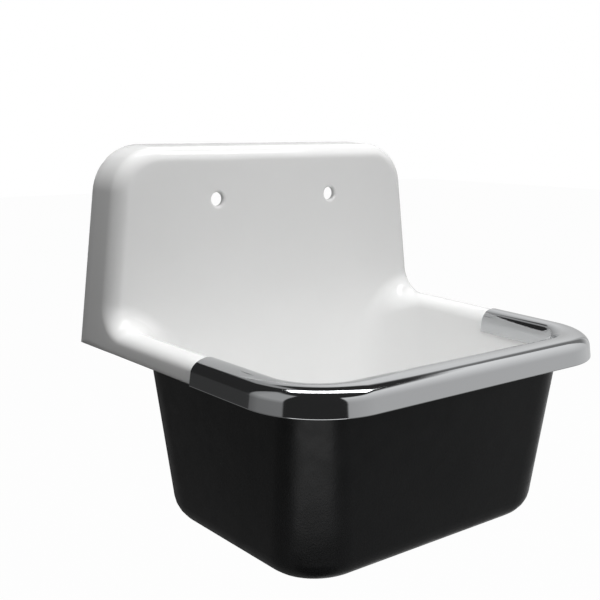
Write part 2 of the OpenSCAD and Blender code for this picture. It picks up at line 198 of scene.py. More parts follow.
print("a grid of 3 by 4 points that wraps round both ways has",
      len(grid_faces(3, 4, True, True)), "faces; an open one has",
      len(grid_faces(3, 4, False, False)))

# %% [markdown]
# ## The outline of the casting
#
# Walk along the outer edge of half the sink: the front, the front corner, the
# side, the cove up to the back, the flank, the top corner and the top. At each
# station the casting has a section, and a section needs only an edge point, a
# direction into the sink and a direction across the outer face. Those are arrays
# with one row for each station. Separate curves for rim and back would have to be
# joined by hand in the cove, where the outline turns from one plane to another.

# %% Stations
FRONT, FRONT_CORNER, SIDE, COVE, FLANK, TOP_CORNER, TOP = range(7)
zone_steps = np.array([12, 40, 24, 60, 30, 40, 22])
zone = np.append(np.repeat(np.arange(TOP + 1), zone_steps), TOP)
through = np.append(np.concatenate([np.arange(n) / n for n in zone_steps]), 1.0)
corner_y = corner_r - depth
corner_x = half_w + corner_y * np.tan(plan_draw) - corner_r / np.cos(plan_draw)
top_z = back_h - top_corner_r
top_x = half_w - top_z * np.tan(side_lean) - top_corner_r / np.cos(side_lean)
cove_y = -back_depth - cove_r
cove_z = crest_h + cove_r
corner_angle = lerp(-np.pi / 2, -plan_draw, through)
top_angle = lerp(side_lean, np.pi / 2, through)
cove_angle = through * np.pi / 2


def xyz(x, y, z):
    """Three coordinates, arrays or numbers, as one row for each station."""
    return np.stack(np.broadcast_arrays(x, y, z, through)[:3], axis=-1)


def by_zone(*choices):
    """One array per zone in; each station takes its row from its own zone's array."""
    inside = [(zone == n)[:, None] for n in range(TOP + 1)]
    return np.select(inside, np.broadcast_arrays(*choices))


def side_point(y, z):
    """The flat side plane: its x shrinks towards the front and with height."""
    return xyz(half_w + y * np.tan(plan_draw) - z * np.tan(side_lean), y, z)


def unit(vectors):
    """Each vector divided by its own length."""
    return vectors / np.linalg.norm(vectors, axis=-1, keepdims=True)


# Smooth step through the cove: 0 on the rim, 1 on the back
share = np.select([zone < COVE, zone > COVE], [0.0, 1.0], through ** 2 * (3 - 2 * through))
side_start = corner_y - corner_r * np.sin(plan_draw)
upright_end = top_z + top_corner_r * np.sin(side_lean)
low_half = np.clip(1 - 2 * through, 0, 1)
high_half = np.clip(2 * through - 1, 0, 1)
edge = by_zone(
    xyz(corner_x * through, -depth, 0),
    xyz(corner_x + corner_r * np.cos(corner_angle),
        corner_y + corner_r * np.sin(corner_angle), 0),
    side_point(lerp(side_start, cove_y, through), 0),
    side_point(cove_y * low_half, cove_z * high_half),
    side_point(0, lerp(cove_z, upright_end, through)),
    xyz(top_x + top_corner_r * np.cos(top_angle), 0,
        top_z + top_corner_r * np.sin(top_angle)),
    xyz(top_x * (1 - through), 0, back_h))
side_in = xyz(-np.cos(plan_draw), np.sin(plan_draw), 0)
flank_in = xyz(-np.cos(side_lean), 0, -np.sin(side_lean))
inward = by_zone(
    xyz(0, 1, 0),
    xyz(-np.cos(corner_angle), -np.sin(corner_angle), 0),
    side_in,
    unit(lerp(side_in, flank_in, share[:, None])),
    flank_in,
    xyz(-np.cos(top_angle), 0, -np.sin(top_angle)),
    xyz(0, 0, -1))
print("stations on half the sink:", len(through))

# %% [markdown]
# ## The section of the rim and of the back
#
# Each section is a flat outer face, then a quarter round up to a crest. On the
# rim the face is low and the round small; on the back the face is the deep flank.
# The sizes blend with a smooth step through the cove, so one formula gives the
# rolled rim, the cove and the edge of the back.

# %% Section formulas
face_h = lerp(skirt_h, flank_d, share)
full_h = lerp(crest_h, back_depth, share)
round_w = lerp(shoulder_w, flank_round_w, share)
cove_out = cove_r + full_h
cove_rise = xyz(-np.sin(cove_angle) * np.tan(plan_draw) - np.cos(cove_angle) * np.tan(side_lean),
                -np.sin(cove_angle), np.cos(cove_angle))
base = np.where((zone == COVE)[:, None],
                side_point(cove_y + cove_out * np.sin(cove_angle),
                           cove_z - cove_out * np.cos(cove_angle)), edge)
rise = np.select([(zone < COVE)[:, None], (zone == COVE)[:, None]],
                 [xyz(0, 0, 1) + inward * np.tan(side_lean), cove_rise],
                 xyz(0, -1, 0) + inward * np.tan(plan_draw))


def section(up, across):
    """Point of every section: up along the face, across into the sink."""
    return base[:, None] + rise[:, None] * up[..., None] + inward[:, None] * across[..., None]


def rounding(k, inset):
    """Quarter of an ellipse from the flat face (k = 0) to the crest (k = 1):
    the height goes with the sine of the turn, the width with one minus its cosine."""
    turn = np.atleast_1d(k) * np.pi / 2
    reach = (full_h - face_h - inset)[:, None]
    width = (round_w - inset)[:, None]
    return section(face_h[:, None] + reach * np.sin(turn),
                   inset + width * (1 - np.cos(turn)))


def eased_edge(k):
    """Quarter round of the casting's outer edge, from its underside (k = 0) to its
    face (k = 1). Its two legs are the inward direction and the face's own direction."""
    turn = np.atleast_1d(k)[:, None] * np.pi / 2
    along = unit(rounding(0, 0) - edge[:, None])
    legs = inward[:, None] * (1 - np.sin(turn)) + along * (1 - np.cos(turn))
    return hold_back(edge[:, None] + edge_ease * legs)


def hold_back(points):
    """Nothing goes through the wall plane or below the level of the rim's edge: y is
    at most 0 and z is at least 0."""
    return np.stack([points[..., 0], np.minimum(points[..., 1], 0),
                     np.maximum(points[..., 2], 0)], axis=-1)


print("crest of the rim at", crest_h, "mm, crest of the back", back_depth, "mm from the wall")

# %% [markdown]
# ## The bowl
#
# Seen from above, the bowl is a rounded oblong at every depth, smaller further
# down because each wall has its draft. A point on it is a corner centre plus a
# radius in some direction; along the straight sides the centre slides from one
# corner to the next. A box with a Bevel modifier comes close, but its corners
# can't grow with depth and its walls can't each have a draft of their own.

# %% Bowl formulas
front_x = np.where(zone == FRONT, through, 1.0)
slide = np.select([zone < SIDE, zone == SIDE], [0.0, through], 1.0)
# Shares of the way along the rear wall at which the flank and the top corner end
flank_end, top_corner_end = 0.25, 0.4
rear_x = 1 - np.select(
    [zone < FLANK, zone == FLANK, zone == TOP_CORNER],
    [0.0, lerp(0, flank_end, through), lerp(flank_end, top_corner_end, through)],
    lerp(top_corner_end, 1.0, through))
turn_at = np.select([zone == FRONT, zone == FRONT_CORNER, zone == SIDE, zone == COVE],
                    [-np.pi / 2, corner_angle, -plan_draw,
                     lerp(-plan_draw, np.pi / 2, through)], np.pi / 2)


def bowl_point(down, out):
    """Bowl outline at a depth below the lip, moved out square to the wall: a corner's
    centre plus its radius times the cosine and sine of the turn. The centre and the
    radius slide from the front corner to the rear corner."""
    down = np.broadcast_to(down, (len(through),) + np.shape(down)[1:])
    front_y = -depth + front_rim_w + down * np.tan(front_draft) - out
    rear_y = -back_depth - down * np.tan(rear_draft) + out

    def side_x(y):
        """Half the width there, less the rim and less the depth times the draft."""
        return (half_w + y * np.tan(plan_draw) - (side_rim_w - out) / np.cos(plan_draw)
                - down * np.tan(side_draft))

    def front_r(angle):
        """The rim's corner radius, less a rim that widens from the side to the front."""
        return (corner_r - lerp(side_rim_w, front_rim_w, np.sin(angle) ** 2)
                + out + down * corner_growth)

    rear_r = rear_corner_r + out + down * corner_growth
    front_cy = front_y + front_r(np.pi / 2)
    rear_cy = rear_y - rear_r
    front_cx = side_x(front_cy) - front_r(0) / np.cos(plan_draw)
    rear_cx = side_x(rear_cy) - rear_r / np.cos(plan_draw)
    angle, s = turn_at[:, None], slide[:, None]
    radius = lerp(front_r(angle), rear_r, s)
    x = lerp(front_cx * front_x[:, None], rear_cx * rear_x[:, None], s)
    y = lerp(front_cy, rear_cy, s)
    return np.stack([x + radius * np.cos(angle), y + radius * np.sin(angle),
                     np.broadcast_to(lip_z - down, x.shape)], axis=-1)


# Depth at which the curve over the lip meets the bowl's wall: 0 on the rim
foot_d = (bend_h * share)[:, None]


def lip_curve(k, inset):
    """Cubic from the crest of each section to the bowl: it leaves the crest along
    the inward direction and meets the wall along the wall's own slope."""
    t = np.atleast_1d(k)[:, None]
    a = rounding(1, inset)
    b = bowl_point(np.maximum(foot_d, inset), inset)
    rise_z = (a - b)[..., 2] * KAPPA
    top = inset - inner_drop * KAPPA * (1 - share)[:, None]
    gap = np.abs(np.sum((b - a) * inward[:, None], axis=-1, keepdims=True))
    c1 = a + inward[:, None] * np.minimum(gap, lip_reach) * KAPPA
    c2 = bowl_point(np.maximum(foot_d - rise_z, top), inset)
    return (a * (1 - t) ** 3 + c1 * 3 * t * (1 - t) ** 2
            + c2 * 3 * t ** 2 * (1 - t) + b * t ** 3)


def foot(k, end, radius, out):
    """Quarter round between the bowl's wall and its floor: the depth goes with the sine
    of the turn, the way in with its cosine."""
    turn = np.atleast_1d(k) * np.pi / 2
    return bowl_point((end - radius * (1 - np.sin(turn)))[None, :],
                      (out - radius * (1 - np.cos(turn)))[None, :])


mouth = bowl_point(np.zeros((1, 1)), 0.0)[:, 0]
print("mouth of the bowl:", round(2 * float(mouth[:, 0].max())), "mm wide,",
      round(float(mouth[:, 1].max() - mouth[:, 1].min())), "mm from front to rear")

# %% [markdown]
# ## The casting as one closed skin
#
# The inside rows run from the outer edge over the crest, down the bowl and across
# the floor; the outside rows come back under the floor and up the rear. Put end
# to end they close into a ring, and the stations close round the sink. Such a
# skin with the topology of a tyre has no seam, no pole and an even thickness. A
# single sheet with a Solidify modifier would be simpler, but it pinches where the
# rim bends tightly, and it can't keep the rear edge flat against the wall.

# %% Skin of the casting
drain_y = -(depth - front_rim_w + back_depth) / 2
core_r = 24.0
inside_end = lip_z - floor_z - floor_fall
outside_end = lip_z + bowl_drop


def steps(count, skip_first=False):
    """Even steps from 0 to 1; skip_first leaves out the 0, where rows would double."""
    return np.linspace(0, 1, count + 1)[int(skip_first):]


def floor_rows(rim, middle_z, k):
    """Straight lines from the foot of the wall to a small circle round the drain, so the
    floor has no pole."""
    t = k[None, :, None]
    centre = np.array([0.0, drain_y, 0.0])
    flat = (rim - centre) * [1, 1, 0]
    circle = unit(flat) * core_r + centre + [0, 0, middle_z]
    return lerp(rim, circle, t)


inside_wall_to = inside_end - floor_r
outside_r = floor_r + wall_t
outside_wall_to = outside_end - outside_r
ease = hold_back(eased_edge(steps(4)))
face = lerp(ease[:, -1:], rounding(0, 0), steps(3)[None, 1:-1, None])
inside = np.concatenate([
    ease, face, rounding(steps(10), 0), lip_curve(steps(26, True), 0),
    bowl_point(lerp(foot_d, inside_wall_to, steps(8, True)[None, :-1]), 0.0),
    foot(steps(8), inside_end, floor_r, 0.0)], axis=1)
inside = np.concatenate(
    [inside, floor_rows(inside[:, -1:], floor_z, steps(7, True))], axis=1)
outside_foot = foot(steps(6)[::-1], outside_end, outside_r, wall_t)
outside_from = np.maximum(foot_d, wall_t)
outside = np.concatenate([
    floor_rows(outside_foot[:, :1], -bowl_drop, steps(3, True)[::-1]),
    outside_foot,
    bowl_point(lerp(outside_from, outside_wall_to, steps(4, True)[None, :-1])[:, ::-1], wall_t),
    lip_curve(steps(14, True)[::-1], wall_t),
    rounding(steps(8)[::-1], wall_t),
    hold_back(edge[:, None] + inward[:, None] * wall_t)], axis=1)
half_skin = np.concatenate([inside, outside], axis=1)
mirror = np.array([-1.0, 1.0, 1.0])
skin = np.concatenate([half_skin, half_skin[-2:0:-1] * mirror])
casting = add_object("casting", mesh_from_grid("casting", place(skin)))
# Faces of the inside rows are enamelled, those of the outside rows are painted
enamel, paint = (bpy.data.materials.new(n) for n in ("white_enamel", "black_paint"))
casting.data.materials.append(enamel)
casting.data.materials.append(paint)
row_of_face = np.tile(np.arange(skin.shape[1]), skin.shape[0])
painted = (row_of_face >= inside.shape[1]).astype(np.int32)
casting.data.polygons.foreach_set("material_index", painted)
report(casting)

# %% [markdown]
# ## Lathe and extrusion
#
# Round pieces are a profile turned about an axis: the first parameter is the
# angle, the second the place on the profile. Bars and bent plates are a flat
# outline carried along a line. Both return closed meshes.


# %% Round and straight pieces
def turned(name, profile, centre=(0, 0, 0), axis="Z", segments=96, solid=False):
    """Turns a profile of (radius, height) pairs: x and y are the radius times the
    cosine and sine of the turn, z is the height. Axis Y lays it towards the wall. The
    profile may have one row for each turn. A solid one is closed by two flat ends."""
    profile = np.asarray(profile, float)
    turn = np.arange(segments)[:, None] * 2 * np.pi / segments
    r, h = profile[..., 0], profile[..., 1]
    x, y = r * np.cos(turn), r * np.sin(turn)
    z = np.broadcast_to(h, x.shape)
    points = np.stack([x, z, -y] if axis == "Y" else [x, y, z], axis=-1).swapaxes(0, 1)
    return add_object(name, mesh_from_grid(name, place(points + np.asarray(centre, float)),
                                           wrap_rows=not solid, caps=solid))


def extruded(name, outline, low, high, axis="X", centre=(0, 0, 0)):
    """Carries a flat outline along X, as (y, z) pairs, or along Z, as (x, y) pairs."""
    outline = np.asarray(outline, float)
    order = [0, 1, 2] if axis == "X" else [1, 2, 0]
    ends = [np.column_stack([np.full(len(outline), at), outline])[:, order]
            for at in (low, high)]
    return add_object(name, mesh_from_grid(name, place(np.stack(ends) + np.asarray(centre)),
                                           wrap_rows=False, caps=True))


def gather(name, pieces):
    """Several closed pieces as one object; the pieces are used up."""
    together = bmesh.new()
    for piece in pieces:
        together.from_mesh(piece.data)
        bpy.data.objects.remove(piece)
    mesh = bpy.data.meshes.new(name)
    together.to_mesh(mesh)
    together.free()
    return add_object(name, mesh)


def round_corners(outline, radii, count=6):
    """Replaces each corner of a closed outline by an arc. The arc starts and ends at
    the radius times the tangent of half the turn away from the corner."""
    outline = np.asarray(outline, float)
    pieces = []
    for corner, before, after, radius in zip(outline, np.roll(outline, 1, 0),
                                             np.roll(outline, -1, 0), radii):
        u, v = unit(before - corner), unit(after - corner)
        half = np.arccos(np.clip(u @ v, -1, 1)) / 2
        centre = corner + unit(u + v) * radius / np.sin(half)
        start, end = corner + u * radius / np.tan(half), corner + v * radius / np.tan(half)
        a, b = start - centre, end - centre
        sweep = np.pi - 2 * half
        t = np.linspace(0, 1, count + 1)[:, None]
        arc = (a * np.sin((1 - t) * sweep) + b * np.sin(t * sweep)) / np.sin(sweep)
        pieces.append(centre + arc)
    return np.concatenate(pieces)


square = [(0, 0), (10, 0), (10, 10), (0, 10)]
print("a square with rounded corners has", len(round_corners(square, (2, 2, 2, 2))), "points")

# %% [markdown]
# ## The hooks behind the back
#
# Behind the back two cast hooks hang over the hanger's lip. The foundry makes
# them in one pour with the rest, so they are joined to the skin by a boolean,
# which leaves one closed surface. Two pieces merely pushed into each other would
# hide walls inside the iron. A mould can't hold a crisp corner, so the outline's
# corners are rounded before it is carried along X.

# %% Hooks
hook_w, hook_pitch, hook_t, toe_gap = 45.0, 130.0, 11.0, 2.0
hanger_t, trough_w, hanger_lip_h, hanger_drop, seat_gap = 4.0, 16.0, 18.0, 38.0, 0.05
hanger_lip_z = back_h - hanger_drop
trough_z = hanger_lip_z - hanger_lip_h
trough_y = -hanger_t - trough_w
panel_back = wall_t - back_depth
hook_root = panel_back - wall_t / 2
hook_under = hanger_lip_z + seat_gap
hook_low = trough_z + hanger_t + toe_gap
toe_back = -hanger_t - toe_gap
toe_front = trough_y + hanger_t / 4
hook_outline = [(hook_root, hook_under - hook_t), (panel_back + hook_t, hook_under),
                (toe_front, hook_under), (toe_front, hook_low),
                (toe_back, hook_low), (toe_back, hook_under + hook_t),
                (hook_root, hook_under + hook_t)]
hook_radii = (0.5, 6, 0.6, 2, 2, 4, 0.5)


def work_casting(operation, other, finish):
    """Joins a piece to the casting or cuts it out; its faces bring their own finish."""
    other.data.materials.append(finish)
    combine(casting, other, operation)


for side in (-1, 1):
    middle = side * hook_pitch / 2
    hook = extruded("hook", round_corners(hook_outline, hook_radii),
                    middle - hook_w / 2, middle + hook_w / 2)
    work_casting("UNION", hook, paint)
print("two hooks hang over a lip at", hanger_lip_z, "mm")

# %% [markdown]
# ## The boss under the floor
#
# A round boss thickens the floor where the drain goes through, so that the nut
# can clamp on flat iron. It is a turned profile with one eased edge. Its wall
# ends halfway through the floor, because a boolean is safest where no two faces
# lie in one plane.

# %% Boss
boss_d, boss_h, boss_edge = 116.0, 8.0, 3.0
boss_z = -bowl_drop - boss_h
boss_top = -bowl_drop + wall_t / 2
drain = (0, drain_y, 0)


def arc(centre_r, centre_h, radius, start, end, count=6):
    """Points of an arc in a (radius, height) profile, angles in degrees from +radius."""
    turn = np.radians(np.linspace(start, end, count + 1))
    return [(centre_r + radius * np.cos(a), centre_h + radius * np.sin(a)) for a in turn]


boss = turned(
    "boss", [(core_r, boss_z)]
    + arc(boss_d / 2 - boss_edge, boss_z + boss_edge, boss_edge, -90, 0)
    + [(boss_d / 2, boss_top), (core_r, boss_top)], drain, solid=True)
work_casting("UNION", boss, paint)
print("boss:", boss_d, "mm across, its underside at", boss_z, "mm")

# %% [markdown]
# ## The faucet holes
#
# Two holes in the back take the shanks of a faucet. Enamel runs thin on a crisp
# edge and chips there, so each hole opens with a soft round lip. The cutter is a
# turned profile laid towards the wall: a flare that starts in front of the face,
# the quarter round of the lip, and the straight hole. The first degrees of the
# round are left out, where it would only graze the face.

# %% Faucet holes
faucet_d, faucet_pitch, faucet_drop, lip_round = 20.0, 203.2, 78.0, 4.0
lip_first, flare_h = 8.0, 3.0
faucet_z = back_h - faucet_drop
lip_arc = [(faucet_d / 2 + lip_round * (1 - np.sin(a)), lip_round * (1 - np.cos(a)))
           for a in np.radians(np.linspace(lip_first, 90, 9))]
flare = (lip_arc[0][0] + flare_h / np.tan(np.radians(lip_first)), lip_arc[0][1] - flare_h)
for side in (-1, 1):
    cutter = turned(
        "cutter", [flare] + lip_arc + [(faucet_d / 2, wall_t * 2)],
        (side * faucet_pitch / 2, -back_depth, faucet_z), "Y", solid=True)
    work_casting("DIFFERENCE", cutter, enamel)
print("two faucet holes", faucet_pitch, "mm apart, at", faucet_z, "mm")

# %% [markdown]
# ## The recess and the outlet
#
# The drain's flange lies in a recess of the floor, so that no water stands round
# it, and its tube goes down through the outlet. One cutter makes both. Read
# upwards, its profile is the outlet, the seat of the flange, the wall of the
# recess and a flare that leaves a soft rim. The cut faces are enamelled as well.

# %% Recess and outlet
flange_d, flange_t, flange_seal_t, flange_sink = 92.0, 2.5, 1.5, 0.5
thread_d, outlet_gap, recess_gap, recess_ease = 62.4, 0.8, 2.0, 1.0
rim_drop, rim_flare, cut_past = 0.8, 6.0, 5.0
flange_top = floor_z - flange_sink
flange_under = flange_top - flange_t
recess_z = flange_under - flange_seal_t
recess_r, outlet_r = flange_d / 2 + recess_gap, thread_d / 2 + outlet_gap
drain_cut = turned(
    "cutter", [(outlet_r, boss_z - cut_past), (outlet_r, recess_z),
               (recess_r - recess_ease, recess_z), (recess_r, recess_z + recess_ease),
               (recess_r, floor_z - rim_drop), (recess_r + rim_flare, floor_z + cut_past)],
    drain, solid=True)
work_casting("DIFFERENCE", drain_cut, enamel)
sharpen(casting, 34)
report(casting)

# %% [markdown]
# ## The rim guard
#
# The guard is one strip of stainless sheet, pressed over the rim: an outer skirt,
# a rolled crest and a leg that goes down inside the bowl. Its section is the
# rim's own line moved out by the clearance, and again by the clearance and the
# sheet's thickness; two small rounds close it at the sheet's edges. The section
# is carried along the rim's outline from one end, round the front, to the other.
# A Solidify modifier on a copy of the rim would leave its edges crisp, and a
# crisp edge doesn't catch the thin line of light that sheet metal shows.

# %% Guard surface
guard_t, guard_gap, guard_leg, guard_start = 1.5, 0.4, 12.0, 286.0
# Heights of the skirt's rows and shares of the leg: rows stand close together near the
# sheet's edges, so that the smooth shading of a round doesn't run over a flat face
skirt_rows = np.array([0.0, 0.6, 5.0, 10.0, 14.4])[:, None]
leg_rows = np.array([0.3, 0.65, 0.95, 1.0])[:, None]
edge_turns = np.radians([54, 18, -18, -54])[:, None]


def guard_line(width, draft):
    """The rim's section as (across, up): skirt, quarter round, cubic and leg."""
    turn = steps(14) * np.pi / 2
    up = skirt_h + shoulder_h * np.sin(turn)
    shoulder = np.column_stack([shoulder_w * (1 - np.cos(turn)) + up * np.tan(side_lean), up])
    crest = shoulder[-1]
    end = np.array([width, lip_z])
    c1 = crest + [(width - crest[0]) * KAPPA, 0]
    slope = np.array([-np.tan(draft), 1.0])
    c2 = end + inner_drop * KAPPA * slope
    t = steps(18, True)[:, None]
    inner = (crest * (1 - t) ** 3 + c1 * 3 * t * (1 - t) ** 2
             + c2 * 3 * t ** 2 * (1 - t) + end * t ** 3)
    skirt = skirt_rows * [np.tan(side_lean), 1.0]
    leg = end - slope * guard_leg * leg_rows
    return np.concatenate([skirt, shoulder, inner, leg])


def guard_section(width, draft):
    """Outer line, round edge, inner line, round edge: one closed loop."""
    line = guard_line(width, draft)
    along = unit(np.gradient(line, axis=0))
    out = np.column_stack([-along[:, 1], along[:, 0]])
    middle = line + out * (guard_gap + guard_t / 2)
    half = guard_t / 2
    across, ahead = np.sin(edge_turns), np.cos(edge_turns)
    last = middle[-1] + half * (out[-1] * across + along[-1] * ahead)
    first = middle[0] + half * (-out[0] * across - along[0] * ahead)
    return np.concatenate([middle + out * half, last, (middle - out * half)[::-1], first])


def sweep_guard():
    """Front, corner and side stations of half the guard, each with its own width
    and draft, because the front rail is wider than the side rails."""
    side_end = (-guard_start - side_start) / (cove_y - side_start)
    pick = (zone < SIDE) | ((zone == SIDE) & (through < side_end))
    edges, inwards = edge[pick], inward[pick]
    angle = turn_at[pick]
    straight = side_point(lerp(side_start, cove_y, side_end), 0)[:1]
    edges = np.concatenate([edges, straight])
    inwards = np.concatenate([inwards, inwards[-1:]])
    wide = np.append(np.sin(angle) ** 2, np.sin(plan_draw) ** 2)
    sections = np.stack([guard_section(lerp(side_rim_w, front_rim_w, w),
                                       lerp(side_draft, front_draft, w)) for w in wide])
    points = (edges[:, None] + inwards[:, None] * sections[..., :1]
              + np.array([0, 0, 1.0]) * sections[..., 1:])
    return np.concatenate([points[:0:-1] * mirror, points])


guard_points = place(sweep_guard())
# The UV map measures metres along the strip and round its section
ahead = np.linalg.norm(np.diff(guard_points, axis=0), axis=-1).mean(axis=1)
round_the_section = np.linalg.norm(np.diff(guard_points, axis=1), axis=-1).mean(axis=0)
u = np.concatenate([[0], np.cumsum(ahead)])
v = np.concatenate([[0], np.cumsum(round_the_section)])
guard_uv = np.stack(np.meshgrid(u, v, indexing="ij"), axis=-1)
guard = add_object("rim_guard_sheet", mesh_from_grid(
    "rim_guard_sheet", guard_points, wrap_rows=False, caps=True, uv=guard_uv))
sharpen(guard, 40)
report(guard)

# %% [markdown]
# ## The hanger on the wall
#
# The hanger is one strip of steel plate with two bends: a flat part bolted to the
# wall, a short shelf, and a lip turned up for the hooks. A press brake makes it
# and leaves a small round at each bend. An outline with rounded corners, carried
# along X, gives the same shape without a bend to cut by hand, and two drilled
# holes take the bolts.

# %% Hanger
hanger_w, bolt_pitch, bolt_d, bolt_rise, bolt_edge = 300.0, 254.0, 9.0, 16.0, 4.0
bolt_z = hanger_lip_z + bolt_rise
plate_top = bolt_z + bolt_d / 2 + bolt_edge
drill_past = 2


def ease_edges(piece, width):
    """Breaks the crisp edges of a piece and keeps its flat faces flat."""
    piece.data.polygons.foreach_set("use_smooth", np.ones(len(piece.data.polygons), bool))
    bevel = piece.modifiers.new("bevel", "BEVEL")
    bevel.width, bevel.segments = width * MM, 2
    bevel.limit_method, bevel.angle_limit = "ANGLE", np.radians(50)
    piece.modifiers.new("even", "WEIGHTED_NORMAL")
    apply_modifiers(piece)


strip_outline = [(0, trough_z), (0, plate_top), (-hanger_t, plate_top),
                 (-hanger_t, trough_z + hanger_t), (trough_y, trough_z + hanger_t),
                 (trough_y, hanger_lip_z), (trough_y - hanger_t, hanger_lip_z),
                 (trough_y - hanger_t, trough_z)]
strip_radii = (5, 0.8, 0.8, 1, 1, 1, 1, 5)
hanger = extruded("hanger_strip", round_corners(strip_outline, strip_radii),
                  -hanger_w / 2, hanger_w / 2)
combine(hanger, gather("bolt_holes", [
    turned("hole", [(bolt_d / 2, -hanger_t - drill_past), (bolt_d / 2, drill_past)],
           (side * bolt_pitch / 2, 0, bolt_z), "Y", 40, solid=True)
    for side in (-1, 1)]), "DIFFERENCE")
ease_edges(hanger, 0.5)
report(hanger)

# %% [markdown]
# ## The drain
#
# A flanged tube hangs in the recess of the floor, with a rubber ring under its
# flange. From below a second rubber ring, a friction washer and a big nut with
# lugs clamp it to the boss. A grid lies in the flange, and one screw holds it on
# a small bridge of three arms. The pieces are stacked, so each height follows
# from the one above it and a thickness.

# %% Lengths of the drain
tube_d, tube_bore, tube_len, slip = 60.3, 50.0, 70.0, 0.15
boss_seal_t, washer_t, nut_h, seal_d = 4.0, 1.5, 12.0, flange_d - 2
grid_d, grid_t, grid_hole_d, grid_sink, screw_d = 56.0, 2.0, 6.0, 0.6, 5.0
thread_spare, bridge_drop, fine_segments = 2.0, 8.0, 128
pipe_pitch, screw_pitch = 25.4 / 11.5, 0.8
# Heights, from the boss downwards and from the flange downwards
washer_z = boss_z - boss_seal_t
nut_z = washer_z - washer_t
thread_end = nut_z - nut_h - thread_spare
tube_end = flange_under - tube_len
grid_seat = grid_t + grid_sink
seat_z = flange_top - grid_seat
bridge_z, bridge_h, arm_w, hub_d = seat_z - bridge_drop, 5.0, 5.0, screw_d + 8
print("the drain reaches from", flange_top, "down to", tube_end, "mm")

# %% [markdown]
# ## Threads and rounded rings
#
# A thread is a turned profile whose radius also depends on the turn: its ridge
# climbs by one pitch in each round. It stays one closed grid of points, where a
# ridge swept along a helix would have to be joined to the tube. Rubber rings and
# washers are flat, and a round at each edge catches the light.

# %% Threads and rings
def threaded(low, high, pitch, root, crest, segments, per_pitch=8):
    """Rows of (radius, height) for each turn. The radius is a trapezoid wave of the
    height over the pitch minus the turn's share, and it fades out at both ends."""
    count = int((high - low) / pitch * per_pitch)
    z = np.linspace(low, high, count)[None, :]
    phase = (z / pitch - np.arange(segments)[:, None] / segments) % 1
    wave = np.clip(2.4 * (1 - np.abs(2 * phase - 1)) - 0.7, 0, 1)
    fade = np.clip((z - low) / pitch, 0, 1) * np.clip((high - z) / pitch, 0, 1)
    radius = root + (crest - root) * wave * fade
    return np.stack([radius, np.broadcast_to(z, radius.shape)], axis=-1)


def with_thread(before, rows, after):
    """A plain profile, the rows of a thread, and a plain profile, for every turn."""
    plain = [np.broadcast_to(np.asarray(part, float), (len(rows),) + np.shape(part))
             for part in (before, after)]
    return np.concatenate([plain[0], rows, plain[1]], axis=1)


def rounded_ring(inner, outer, low, high, radius, count=3):
    """Profile of a flat ring whose four edges are rounded."""
    a, b = inner + radius, outer - radius
    c, d = low + radius, high - radius
    return (arc(b, c, radius, -90, 0, count) + arc(b, d, radius, 0, 90, count)
            + arc(a, d, radius, 90, 180, count) + arc(a, c, radius, 180, 270, count))


print("pipe thread with a pitch of", round(pipe_pitch, 3), "mm")

# %% [markdown]
# ## The tube and its bridge
#
# The tube, its flange and the seat of the grid are one turned profile: up the
# threaded outside, over the flange, down to the seat and into the bore. The
# bridge inside is a hub with three arms. The hub stands a little proud of the
# arms and the arms start inside it, so the union meets no faces in one plane.

# %% Tube and bridge
bore_r, seat_r, flange_r = tube_bore / 2, grid_d / 2 + slip, flange_d / 2
fine_round, brim_round, bore_round, thread_relief = 0.5, 1.4, 0.4, 0.9
hub_proud, arm_start, past = 0.4, 4, 1
body_above = ([(thread_d / 2 - thread_relief, flange_under)]
              + arc(flange_r - fine_round, flange_under + fine_round, fine_round, -90, 0, 3)
              + arc(flange_r - brim_round, flange_top - brim_round, brim_round, 0, 90, 6)
              + arc(seat_r + fine_round, flange_top - fine_round, fine_round, 90, 180, 4)
              + [(seat_r, seat_z)]
              + arc(bore_r + bore_round, seat_z - bore_round, bore_round, 90, 180, 3)
              + [(bore_r, lerp(seat_z, tube_end, 0.5))])
body_below = (arc(bore_r + fine_round, tube_end + fine_round, fine_round, 180, 270, 3)
              + arc(tube_d / 2 - fine_round, tube_end + fine_round, fine_round, -90, 0, 3))
body_thread = threaded(thread_end, flange_under - fine_round, pipe_pitch,
                       tube_d / 2, thread_d / 2, fine_segments)
body = turned("drain_tube", with_thread(body_below, body_thread, body_above), drain,
              segments=fine_segments)
bridge_top = bridge_z + bridge_h
bridge = turned("hub", [(hub_d / 2, bridge_z - hub_proud), (hub_d / 2, bridge_top + hub_proud)],
                drain, segments=48, solid=True)


def spun(outline, angle):
    """A flat outline turned about the axis: its x goes to the cosine and the sine."""
    a = np.radians(angle)
    return np.asarray(outline) @ np.array([[np.cos(a), np.sin(a)], [-np.sin(a), np.cos(a)]])


arm_end = bore_r + past
arm = [(arm_start, -arm_w / 2), (arm_end, -arm_w / 2), (arm_end, arm_w / 2),
       (arm_start, arm_w / 2)]
combine(bridge, gather("arms", [extruded("arm", spun(arm, a), bridge_z, bridge_top, "Z", drain)
                                for a in (0, 120, 240)]), "UNION")
combine(bridge, turned("hole", [(screw_d / 2 + slip, bridge_z - past),
                                (screw_d / 2 + slip, bridge_top + past)],
                       drain, segments=32, solid=True), "DIFFERENCE")
ease_edges(bridge, 0.6)
combine(body, bridge, "UNION")
sharpen(body, 40)
report(body)

# %% [markdown]
# ## The grid
#
# The grid is a disc with a screw hole in the middle and two rings of round holes
# that keep rags out of the drain. The disc is turned with eased edges, and all
# its holes are cut at once: one boolean with many small cutters is faster than
# many booleans with one.

